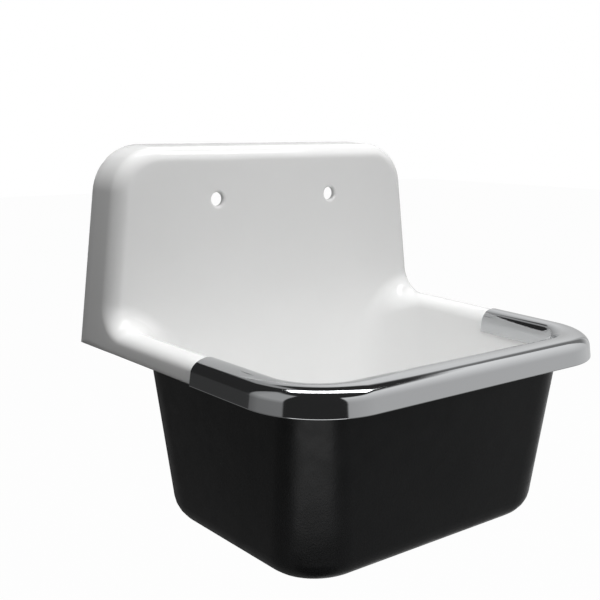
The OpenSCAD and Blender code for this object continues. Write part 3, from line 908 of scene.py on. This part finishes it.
# %% Grid
plate_round = 0.7
grid_z = seat_z + seat_gap
grid = turned(
    "drain_plate",
    arc(grid_d / 2 - plate_round, grid_z + plate_round, plate_round, -90, 0, 4)
    + arc(grid_d / 2 - plate_round, grid_z + grid_t - plate_round, plate_round, 0, 90, 4),
    drain, segments=fine_segments, solid=True)
# Each ring: its radius as a share of the disc's diameter, and the angles of its holes
rings = [(0.19, np.arange(6) * 60 + 15), (0.38, np.arange(12) * 30 + 15)]
spots = [(0.0, 0.0)] + [(share_out * grid_d * np.cos(a), share_out * grid_d * np.sin(a))
                        for share_out, angles in rings for a in np.radians(angles)]
hole_sizes = [screw_d / 2 + slip] + [grid_hole_d / 2] * (len(spots) - 1)
combine(grid, gather("grid_holes", [
    turned("hole", [(size, grid_z - past), (size, grid_z + grid_t + past)],
           (x, drain_y + y, 0), segments=36, solid=True)
    for (x, y), size in zip(spots, hole_sizes)]), "DIFFERENCE")
ease_edges(grid, 0.35)
report(grid)

# %% [markdown]
# ## The screw of the grid
#
# A round head with one slot sits on the grid, and the shank goes down through
# the bridge. Shank, thread and dome are one turned profile, and the slot is a
# flat bar cut out of the dome.

# %% Screw
head_z = grid_z + grid_t + seat_gap
tip_below, thread_lead, neck_h = 3, 0.5, 0.6
screw_end = bridge_z - tip_below
ridge_h, screw_segments = 0.42, 40
head_rim, dome_foot, dome_h = 0.4, 0.6, 1.4
slot_w, slot_rise, slot_top = 1.0, 1, 4
dome = np.radians(np.linspace(0, 84, 10))
screw_thread = threaded(screw_end + thread_lead, head_z - neck_h, screw_pitch,
                        screw_d / 2 - ridge_h, screw_d / 2, screw_segments, 6)
screw_head = ([(screw_d / 2, head_z - neck_h / 2), (screw_d / 2, head_z)]
              + arc(screw_d - head_rim, head_z + head_rim, head_rim, -90, 0, 3)
              + [(screw_d * np.cos(a), head_z + dome_foot + dome_h * np.sin(a))
                 for a in dome])
screw = turned("round_head_screw",
               with_thread([(screw_d / 2 - thread_relief, screw_end)], screw_thread, screw_head),
               drain, segments=screw_segments, solid=True)
slot = np.array([(-1, -1), (1, -1), (1, 1), (-1, 1)]) * [screw_d + past, slot_w / 2]
combine(screw, extruded("slot", slot, head_z + slot_rise, head_z + slot_top, "Z", drain),
        "DIFFERENCE")
sharpen(screw, 40)
report(screw)

# %% [markdown]
# ## The rubber rings and the washer
#
# One rubber ring seals the flange against the casting, a thicker one seals the
# boss, and a thin washer lets the nut turn without dragging the rubber round.
# They are the same profile with another height and another round at the edges.

# %% Rings and washer
ring_slack, ring_trim = 0.5, 0.05
upper_round, lower_round, washer_round = 0.5, 1.2, 0.25
ring_in, ring_out = thread_d / 2 + ring_slack, seal_d / 2 - ring_trim
upper_ring = turned("upper_rubber_ring", rounded_ring(
    ring_in, ring_out, recess_z + seat_gap, flange_under - seat_gap, upper_round), drain)
lower_ring = turned("lower_rubber_ring", rounded_ring(
    ring_in, ring_out, washer_z + seat_gap, boss_z - seat_gap, lower_round), drain)
washer = turned("thin_washer", rounded_ring(
    ring_in, ring_out, nut_z + seat_gap, washer_z, washer_round), drain)
for piece in (upper_ring, lower_ring, washer):
    report(piece)

# %% [markdown]
# ## The nut with its lugs
#
# The nut is a low ring with eight lugs, so that it can be knocked tight with a
# drift. Its thread is the same ridge turned inwards: the crest has the smaller
# radius. The lugs stand a little above the nut's lower face, which keeps the
# union free of faces in one plane.

# %% Nut
nut_d, nut_ease, nut_ridge, thread_stop, nut_relief = seal_d - 6, 1, 1.0, 0.8, 1.4
lug_w, lug_out, lug_root, lug_lift, lug_h = 12.0, 5.0, 3, 0.3, nut_h * 0.7
nut_low = nut_z - nut_h
nut_bore = thread_d / 2 + slip
nut_rows = threaded(nut_low + thread_stop, nut_z - thread_stop, pipe_pitch,
                    nut_bore + nut_ridge, nut_bore, fine_segments)
nut_outside = (arc(nut_d / 2 - nut_ease, nut_low + nut_ease, nut_ease, -90, 0, 4)
               + arc(nut_d / 2 - nut_ease, nut_z - nut_ease, nut_ease, 0, 90, 4))
nut = turned("lug_nut", with_thread(nut_outside, nut_rows[:, ::-1],
                                    [(nut_bore + nut_relief, nut_low)]),
             drain, segments=fine_segments)
lug_from, lug_to = nut_d / 2 - lug_root, nut_d / 2 + lug_out
lug = round_corners([(lug_from, -lug_w / 2), (lug_to, -lug_w / 2),
                     (lug_to, lug_w / 2), (lug_from, lug_w / 2)], (0.3, 2, 2, 0.3), 4)
lugs = gather("lugs", [extruded("lug", spun(lug, a), nut_low + lug_lift, nut_low + lug_h,
                                "Z", drain) for a in np.arange(8) * 45])
ease_edges(lugs, 0.6)
combine(nut, lugs, "UNION")
sharpen(nut, 40)
report(nut)

# %% [markdown]
# ## Materials: a small kit
#
# A material here is one Principled shader and a few nodes that vary it a little
# over the surface. Patterns read Object coordinates, or the piece's own UV map
# where they follow a sheet, so they stay with the piece in every view.


# %% Node helpers
def new_material(name, colour, roughness, **sockets):
    """A Principled material with fixed values; a socket's name has _ for a space."""
    material = bpy.data.materials.get(name) or bpy.data.materials.new(name)
    material.use_nodes = True
    shader = material.node_tree.nodes["Principled BSDF"]
    shader.inputs["Base Color"].default_value = (*colour, 1)
    shader.inputs["Roughness"].default_value = roughness
    for socket, value in sockets.items():
        shader.inputs[socket.replace("_", " ")].default_value = value
    return material, shader


def coordinates(material, source="Object", scale=(1, 1, 1)):
    """Texture coordinates of the piece, stretched by a Mapping node."""
    nodes, links = material.node_tree.nodes, material.node_tree.links
    place_of = nodes.new("ShaderNodeTexCoord")
    mapping = nodes.new("ShaderNodeMapping")
    mapping.inputs["Scale"].default_value = scale
    links.new(place_of.outputs[source], mapping.inputs["Vector"])
    return mapping.outputs["Vector"]


def noise(material, vector, scale, detail=3.0, roughness=0.5):
    """A cloudy value round 0.5; scale is the number of clouds in a metre."""
    nodes, links = material.node_tree.nodes, material.node_tree.links
    texture = nodes.new("ShaderNodeTexNoise")
    texture.inputs["Scale"].default_value = scale
    texture.inputs["Detail"].default_value = detail
    texture.inputs["Roughness"].default_value = roughness
    links.new(vector, texture.inputs["Vector"])
    return texture.outputs["Fac"]


def spread(material, value, low, high, from_low=0.3, from_high=0.7):
    """Maps a noise value to a range of a shader socket."""
    nodes, links = material.node_tree.nodes, material.node_tree.links
    ramp = nodes.new("ShaderNodeMapRange")
    for socket, number in zip(("From Min", "From Max", "To Min", "To Max"),
                              (from_low, from_high, low, high)):
        ramp.inputs[socket].default_value = number
    links.new(value, ramp.inputs["Value"])
    return ramp.outputs["Result"]


def tint(material, value, dark, light):
    """Mixes two colours by a noise value."""
    nodes, links = material.node_tree.nodes, material.node_tree.links
    mix = nodes.new("ShaderNodeMix")
    mix.data_type = "RGBA"
    mix.inputs[6].default_value = (*dark, 1)
    mix.inputs[7].default_value = (*light, 1)
    links.new(value, mix.inputs["Factor"])
    return mix.outputs[2]


def bump(material, shader, value, distance, strength=1.0, under=None):
    """Fine relief of the given height in metres; under is a relief below it."""
    nodes, links = material.node_tree.nodes, material.node_tree.links
    relief = nodes.new("ShaderNodeBump")
    relief.inputs["Distance"].default_value = distance
    relief.inputs["Strength"].default_value = strength
    links.new(value, relief.inputs["Height"])
    if under is not None:
        links.new(under, relief.inputs["Normal"])
    links.new(relief.outputs["Normal"], shader.inputs["Normal"])
    return relief.outputs["Normal"]


def drive(material, output, shader, socket):
    """Lets the output of a node set a socket of the shader."""
    material.node_tree.links.new(output, shader.inputs[socket])


def dress(piece, material, node):
    """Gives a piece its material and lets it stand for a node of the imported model."""
    piece.data.materials.clear()
    piece.data.materials.append(material)
    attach(piece, "root")
    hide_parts(node)


print("materials named so far:", [enamel.name, paint.name])

# %% [markdown]
# ## White enamel and black paint
#
# Enamel on iron is a thick glass coat: very smooth, hard white, with a slow
# waviness from the casting below it. The hidden side is coated with satin black
# paint that still shows the grain of the sand mould. The casting is one piece, so
# its faces choose between two materials. The bumps are kept well under a
# millimetre, because stronger ones would turn glass into plaster.

# %% Casting finishes
enamel, enamel_shader = new_material("white_enamel", (0.87, 0.87, 0.865), 0.14, IOR=1.52)
where = coordinates(enamel)
drive(enamel, tint(enamel, noise(enamel, where, 9.0), (0.855, 0.857, 0.853),
                   (0.885, 0.885, 0.882)), enamel_shader, "Base Color")
drive(enamel, spread(enamel, noise(enamel, where, 60.0), 0.11, 0.17), enamel_shader, "Roughness")
bump(enamel, enamel_shader, noise(enamel, where, 26.0, detail=2.0), 0.0002, 0.5)

paint, paint_shader = new_material("black_paint", (0.009, 0.0095, 0.010), 0.34)
paint_shader.inputs["Specular IOR Level"].default_value = 0.25
where = coordinates(paint)
drive(paint, tint(paint, noise(paint, where, 14.0), (0.007, 0.0075, 0.008),
                  (0.013, 0.0135, 0.014)), paint_shader, "Base Color")
drive(paint, spread(paint, noise(paint, where, 45.0), 0.28, 0.40), paint_shader, "Roughness")
grain = bump(paint, paint_shader, noise(paint, where, 420.0, detail=4.0), 0.00025, 0.6)
bump(paint, paint_shader, noise(paint, where, 30.0, detail=2.0), 0.0006, 0.6, under=grain)

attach(casting, "root")
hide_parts("basin")
print("casting dressed in", [m.name for m in casting.data.materials])

# %% [markdown]
# ## Polished stainless steel
#
# The guard is bright but not a mirror: the polishing belt leaves lines along the
# strip that spread reflections a little across it. The lines follow the piece's
# UV map, which measures metres along the strip and round its section. On Object
# coordinates they would run straight on where the strip turns a corner.

# %% Guard finish
steel, steel_shader = new_material("polished_stainless", (0.60, 0.61, 0.62), 0.07, Metallic=1.0)
strip = coordinates(steel, "UV", (22.0, 2600.0, 1.0))
drive(steel, spread(steel, noise(steel, strip, 1.0, detail=4.0), 0.045, 0.09),
      steel_shader, "Roughness")
belt = bump(steel, steel_shader, noise(steel, strip, 1.0, detail=4.0), 0.00002, 0.35)
bump(steel, steel_shader, noise(steel, coordinates(steel), 16.0, detail=1.0), 0.0004, 0.5,
     under=belt)
dress(guard, steel, "rim_guard")
print("guard dressed in", steel.name)

# %% [markdown]
# ## Zinc plate on the hanger
#
# A hanger comes from the shop with a zinc plate: a cloudy grey metal, duller than
# steel. Large clouds move its colour, small ones its gloss, and a faint relief
# keeps the lines of the rolled sheet.

# %% Zinc plate
zinc, shader = new_material("plated_steel", (0.50, 0.52, 0.54), 0.36, Metallic=1.0)
where = coordinates(zinc)
drive(zinc, tint(zinc, noise(zinc, where, 38.0), (0.42, 0.44, 0.47), (0.58, 0.60, 0.61)),
      shader, "Base Color")
drive(zinc, spread(zinc, noise(zinc, where, 90.0), 0.30, 0.46), shader, "Roughness")
bump(zinc, shader, noise(zinc, coordinates(zinc, scale=(6, 900, 900)), 1.0), 0.00003, 0.4)
dress(hanger, zinc, "wall_hanger")
print("hanger dressed in", zinc.name)

# %% [markdown]
# ## Bright turned metal on the drain
#
# Turned metal keeps fine rings from the tool. A noise that is stretched far more
# along the height than across gives such rings on every piece of the drain that
# is turned about the same axis.

# %% Bright metal
bright, shader = new_material("bright_drain_metal", (0.66, 0.66, 0.65), 0.16, Metallic=1.0)
rings_of_tool = noise(bright, coordinates(bright, scale=(25, 25, 2200)), 1.0, detail=2.0)
drive(bright, tint(bright, noise(bright, coordinates(bright), 30.0), (0.62, 0.62, 0.615),
                   (0.70, 0.70, 0.69)), shader, "Base Color")
drive(bright, spread(bright, rings_of_tool, 0.12, 0.22), shader, "Roughness")
bump(bright, shader, rings_of_tool, 0.00002, 0.4)
for piece, node in ((body, "drain_body"), (grid, "drain_grid"), (screw, "grid_screw")):
    dress(piece, bright, node)
print("tube, grid and screw dressed in", bright.name)

# %% [markdown]
# ## Raw brass on the nut and the washer
#
# The nut is cast and left raw, so its colour drifts between brown and yellow and
# its surface is grainy. Nobody polishes what hangs under a sink.

# %% Brass
brass, shader = new_material("nut_brass", (0.72, 0.52, 0.26), 0.30, Metallic=1.0)
where = coordinates(brass)
drive(brass, tint(brass, noise(brass, where, 25.0), (0.60, 0.41, 0.19), (0.78, 0.58, 0.31)),
      shader, "Base Color")
drive(brass, spread(brass, noise(brass, where, 120.0), 0.24, 0.42), shader, "Roughness")
bump(brass, shader, noise(brass, where, 500.0), 0.00006, 0.5)
for piece, node in ((washer, "friction_washer"), (nut, "drain_locknut")):
    dress(piece, brass, node)
print("washer and nut dressed in", brass.name)

# %% [markdown]
# ## Black rubber on the rings
#
# Moulded rubber is nearly black and dull. A little variation in its gloss and a
# very fine grain are enough, because only its edge is seen.

# %% Rubber
rubber, shader = new_material("black_rubber", (0.020, 0.020, 0.021), 0.6)
where = coordinates(rubber)
drive(rubber, tint(rubber, noise(rubber, where, 40.0), (0.014, 0.014, 0.015),
                   (0.028, 0.028, 0.029)), shader, "Base Color")
drive(rubber, spread(rubber, noise(rubber, where, 200.0), 0.52, 0.72), shader, "Roughness")
bump(rubber, shader, noise(rubber, where, 900.0), 0.00005, 0.5)
for piece, node in ((upper_ring, "flange_seal"), (lower_ring, "boss_seal")):
    dress(piece, rubber, node)
print("ten nodes dressed")

# %% [markdown]
# ## The camera
#
# The camera stands where the photographer's did. Its place and its turn were
# worked out from the faucet holes and the corners of the rim, so that the object
# falls on the same points of the frame.

# %% Camera
# Turn from the sink's front towards its left side and tilt downwards, in radians, and
# the camera's place in the rim's millimetres
azimuth, pitch = 0.63379, 0.18819
spot = np.array([-777.7, -1191.3, 298.7])
forward = np.array([np.sin(azimuth) * np.cos(pitch), np.cos(azimuth) * np.cos(pitch),
                    -np.sin(pitch)])
to_right = np.array([np.cos(azimuth), -np.sin(azimuth), 0.0])
upward = np.cross(to_right, forward)
lens = bpy.data.cameras.new("camera")
lens.lens, lens.sensor_width = 54.29, 36.0
camera = bpy.data.objects.new("camera", lens)
turn = np.column_stack([to_right, upward, -forward])
camera.matrix_world = Matrix.Translation(Vector(place(spot))) @ Matrix(turn.tolist()).to_4x4()
bpy.context.scene.collection.objects.link(camera)
bpy.context.scene.camera = camera
print("camera at", np.round(place(spot), 3).tolist())

# %% [markdown]
# ## The room and its white background
#
# The sink is shown in front of plain white. The world is white for a ray from the
# camera or a reflection, and only a dim grey for the light that it sheds, a
# little brighter above. So the background can be white without washing out the
# enamel.


# %% World
def seen_directly(nodes, links):
    """1 for a ray from the camera, a reflection or a view through glass."""
    path = nodes.new("ShaderNodeLightPath")
    first = nodes.new("ShaderNodeMath")
    first.operation = "MAXIMUM"
    links.new(path.outputs["Is Camera Ray"], first.inputs[0])
    links.new(path.outputs["Is Glossy Ray"], first.inputs[1])
    second = nodes.new("ShaderNodeMath")
    second.operation = "MAXIMUM"
    links.new(first.outputs[0], second.inputs[0])
    links.new(path.outputs["Is Transmission Ray"], second.inputs[1])
    return second.outputs[0]


# The light that the room sheds: its level at the horizon and its growth along x, y, z
room_level, room_slope = 0.125, (0.02, -0.03, 0.14)
world = bpy.data.worlds.new("studio")
bpy.context.scene.world = world
world.use_nodes = True
nodes, links = world.node_tree.nodes, world.node_tree.links
background = nodes["Background"]
direction = nodes.new("ShaderNodeTexCoord")
slope = nodes.new("ShaderNodeVectorMath")
slope.operation = "DOT_PRODUCT"
slope.inputs[1].default_value = room_slope
links.new(direction.outputs["Generated"], slope.inputs[0])
room = nodes.new("ShaderNodeMath")
room.operation = "ADD"
room.inputs[1].default_value = room_level
links.new(slope.outputs["Value"], room.inputs[0])
level = nodes.new("ShaderNodeMapRange")
level.inputs["To Max"].default_value = 1.0
links.new(room.outputs[0], level.inputs["To Min"])
links.new(seen_directly(nodes, links), level.inputs["Value"])
links.new(level.outputs["Result"], background.inputs["Strength"])
background.inputs["Color"].default_value = (1, 1, 1, 1)
print("world made:", world.name)

# %% [markdown]
# ## The floor
#
# The floor lies well below the sink, because the sink hangs on a wall. It glows
# nearly white for the camera and in reflections. For light that bounces it is a
# matt grey, so that it hardly lights the sink from below.

# %% Floor
floor_level, floor_reach, floor_grey, floor_glow = -0.95, 12.0, 0.3, 0.98
floor_material = bpy.data.materials.new("pale_floor")
floor_material.use_nodes = True
nodes, links = floor_material.node_tree.nodes, floor_material.node_tree.links
nodes.clear()
output = nodes.new("ShaderNodeOutputMaterial")
matt = nodes.new("ShaderNodeBsdfDiffuse")
matt.inputs["Color"].default_value = (floor_grey, floor_grey, floor_grey, 1)
glow = nodes.new("ShaderNodeEmission")
mix = nodes.new("ShaderNodeMixShader")
amount = nodes.new("ShaderNodeMath")
amount.operation = "MULTIPLY"
amount.inputs[1].default_value = floor_glow
links.new(seen_directly(nodes, links), amount.inputs[0])
links.new(amount.outputs[0], mix.inputs["Fac"])
links.new(matt.outputs[0], mix.inputs[1])
links.new(glow.outputs[0], mix.inputs[2])
links.new(mix.outputs[0], output.inputs["Surface"])
corners = np.array([[[-1, -1, 0], [1, -1, 0]], [[-1, 1, 0], [1, 1, 0]]]) * floor_reach
corners[..., 2] = floor_level
floor = add_object("floor", mesh_from_grid("floor", corners, False, False))
floor.data.materials.append(floor_material)
print("floor at", floor_level, "m")

# %% [markdown]
# ## Lamps and flag
#
# White enamel is lit with few lamps, large and soft. A strip hangs above on the
# right, square to the camera. A fill box hangs above on the left, and a weak one
# stands in front. These two don't show in reflections, because the tent of the
# next step is what the metal mirrors. A dark cloth, which photographers call a
# flag, keeps light off the left flank.


# %% Lamps and flag
def soft_box(name, location, target, size, level, height=None):
    """A square lamp whose power gives a white surface facing it this brightness:
    power = level times pi squared times the distance squared."""
    lamp = bpy.data.lights.new(name, "AREA")
    away = Vector(target) - Vector(location)
    lamp.energy = level * np.pi ** 2 * away.length_squared
    lamp.size = size
    if height:
        lamp.shape, lamp.size_y = "RECTANGLE", height
    holder = bpy.data.objects.new(name, lamp)
    holder.matrix_world = (Matrix.Translation(Vector(location))
                           @ away.to_track_quat("-Z", "Y").to_matrix().to_4x4())
    bpy.context.scene.collection.objects.link(holder)
    return holder


overhead = soft_box("overhead_strip", (0.80, -0.22, 3.0), (0.80, -0.22, -0.3),
                    size=3.5, level=0.52, height=0.78)
overhead.matrix_world = overhead.matrix_world @ Matrix.Rotation(-azimuth, 4, "Z")
fill = soft_box("fill_box", (-0.70, -0.80, 3.0), (0, -0.30, -0.2), size=2.4, level=0.59)
front = soft_box("front_box", (0.2, -2.45, 0.75), (0, -0.25, -0.15), size=1.8, level=0.28)
fill.visible_glossy = front.visible_glossy = False

flag_cloth = bpy.data.materials.new("flag_cloth")
flag_cloth.use_nodes = True
flag_shader = flag_cloth.node_tree.nodes["Principled BSDF"]
flag_shader.inputs["Base Color"].default_value = (0.06, 0.06, 0.06, 1)
flag_x, flag_front, flag_rear, flag_low, flag_high = -0.55, -0.6, 0.4, -0.9, 0.12
flag_points = np.array([[[flag_x, flag_front, flag_low], [flag_x, flag_rear, flag_low]],
                        [[flag_x, flag_front, flag_high], [flag_x, flag_rear, flag_high]]])
flag = add_object("flag", mesh_from_grid("flag", flag_points, False, False))
flag.data.materials.append(flag_cloth)
flag.visible_camera = flag.visible_glossy = flag.visible_transmission = False
for lamp in (overhead, fill, front):
    print(lamp.name, round(lamp.data.energy, 1), "W")

# %% [markdown]
# ## What the metal mirrors
#
# A polished strip has hardly a colour of its own: it shows the room. Here the
# room is a tent round the sink, seen in reflections only. Its brightness is a
# few soft-edged panels over azimuth and elevation: a grey sheet to the right of
# the camera that brightens upwards, a second one behind, a dark seam between
# them, a dark room on the left with one dim screen, and light ground in front.
# Lamps could be mirrored as well, but they would also light the enamel. The
# brightness is an attribute on the tent's points, worked out from the angles.


# %% Light tent
def panel(angle, low, high, soft):
    """1 between two angles, falling to 0 over a soft edge at each."""
    return (np.clip((angle - low) / soft + 0.5, 0, 1)
            * np.clip((high - angle) / soft + 0.5, 0, 1))


def tent_brightness(az, el):
    """A faint base plus the soft-edged panels. Azimuth runs from the front (0) to the
    right (90) and the left (-90)."""
    # A sheet on the right of the camera that brightens upwards, dimmer near the ground
    climb = np.clip(el / 45, 0, 1) ** 1.6
    ground = lerp(1.0, 0.35, np.clip(-(el + 12) / 8, 0, 1))
    right = ((0.46 + 0.14 * az / 60 + lerp(0.26, 0.38, np.clip(az / 90, 0, 1)) * climb)
             * panel(az, -3.5, 92, 1.5) * ground)
    right = right * panel(el, -95, lerp(52, 47, np.clip(az / 40, 0, 1)), 3)
    # The seam beside it, a second sheet behind the sink, and a low grey one further round
    seam = lerp(0.62, 0.20, np.clip((el - 5) / 15, 0, 1)) * panel(az, 92, 107, 1.5)
    behind = (lerp(0.54, 0.85, np.clip((el - 5) / 25, 0, 1)) * panel(az, 107, 168, 6)
              * lerp(1.0, 0.55, np.clip((az - 135) / 30, 0, 1)))
    far = 0.36 * (panel(az, 168, 190, 6) + panel(az, -190, -177, 4)) * panel(el, -8, 80, 12)
    # The dark room on the left: one dim screen, two faint patches, and the ground
    screen = (0.41 * panel(az, -132, -81, 2) * panel(el, -13, 60, 6)
              * lerp(0.45, 1.0, np.clip((el + 8) / 26, 0, 1))
              * lerp(0.7, 1.0, np.clip((az + 132) / 15, 0, 1)))
    left_ground = 0.14 * panel(az, -180, -72, 6) * panel(el, -95, -15, 5)
    front_ground = 1.5 * panel(az, -72, -6, 6) * panel(el, -38, -15, 5)
    near_screen = 0.06 * panel(az, -146.8, -143.4, 1) * panel(el, -10, 14, 4)
    left_gap = 0.022 * panel(az, -177, -132, 3) * panel(el, -24, 3, 6)
    walls = right + (seam + behind) * panel(el, -95, 47, 4)
    return 0.028 + walls + far + screen + near_screen + left_gap + left_ground + front_ground


tent_r, tent_y, tent_z, off_floor = 4.6, -0.25, -0.24, 0.01
# Below the horizon the tent ends on the floor, so its reach is the height over the sine
room_below = tent_z - floor_level - off_floor
az, el = np.meshgrid(np.linspace(-180, 180, 361), np.linspace(-90, 90, 181), indexing="ij")
down = np.sin(np.radians(el))
tent_reach = np.where(down < 0, np.minimum(tent_r, room_below / np.maximum(-down, 1e-6)),
                      tent_r)
flat_reach = tent_reach * np.cos(np.radians(el))
tent_points = np.stack([flat_reach * np.sin(np.radians(az)),
                        tent_y - flat_reach * np.cos(np.radians(az)),
                        tent_z + tent_reach * down], axis=-1)
tent = add_object("light_tent", mesh_from_grid("light_tent", tent_points, False, False))
brightness = tent_brightness(az, el)
glow_of = tent.data.attributes.new("glow", "FLOAT", "POINT")
glow_of.data.foreach_set("value", brightness.astype(np.float32).ravel())
cloth = bpy.data.materials.new("tent_cloth")
cloth.use_nodes = True
nodes, links = cloth.node_tree.nodes, cloth.node_tree.links
nodes.clear()
output = nodes.new("ShaderNodeOutputMaterial")
glow = nodes.new("ShaderNodeEmission")
level = nodes.new("ShaderNodeAttribute")
level.attribute_name = "glow"
links.new(level.outputs["Fac"], glow.inputs["Strength"])
links.new(glow.outputs[0], output.inputs["Surface"])
tent.data.materials.append(cloth)
tent.visible_camera = tent.visible_diffuse = tent.visible_shadow = False
tent.visible_transmission = tent.visible_volume_scatter = False
print("tent brightness from", round(float(brightness.min()), 3), "to",
      round(float(brightness.max()), 3))

# %% [markdown]
# ## Finish
#
# The dressed model may not grow beyond the imported one. The Standard view shows
# colours as they are written. White enamel lights itself by many bounces inside the
# bowl, so light may bounce more often than usual.

# %% Finish
bpy.context.scene.view_settings.view_transform = "Standard"
bpy.context.scene.cycles.max_bounces = 12
bpy.context.scene.cycles.diffuse_bounces = 8
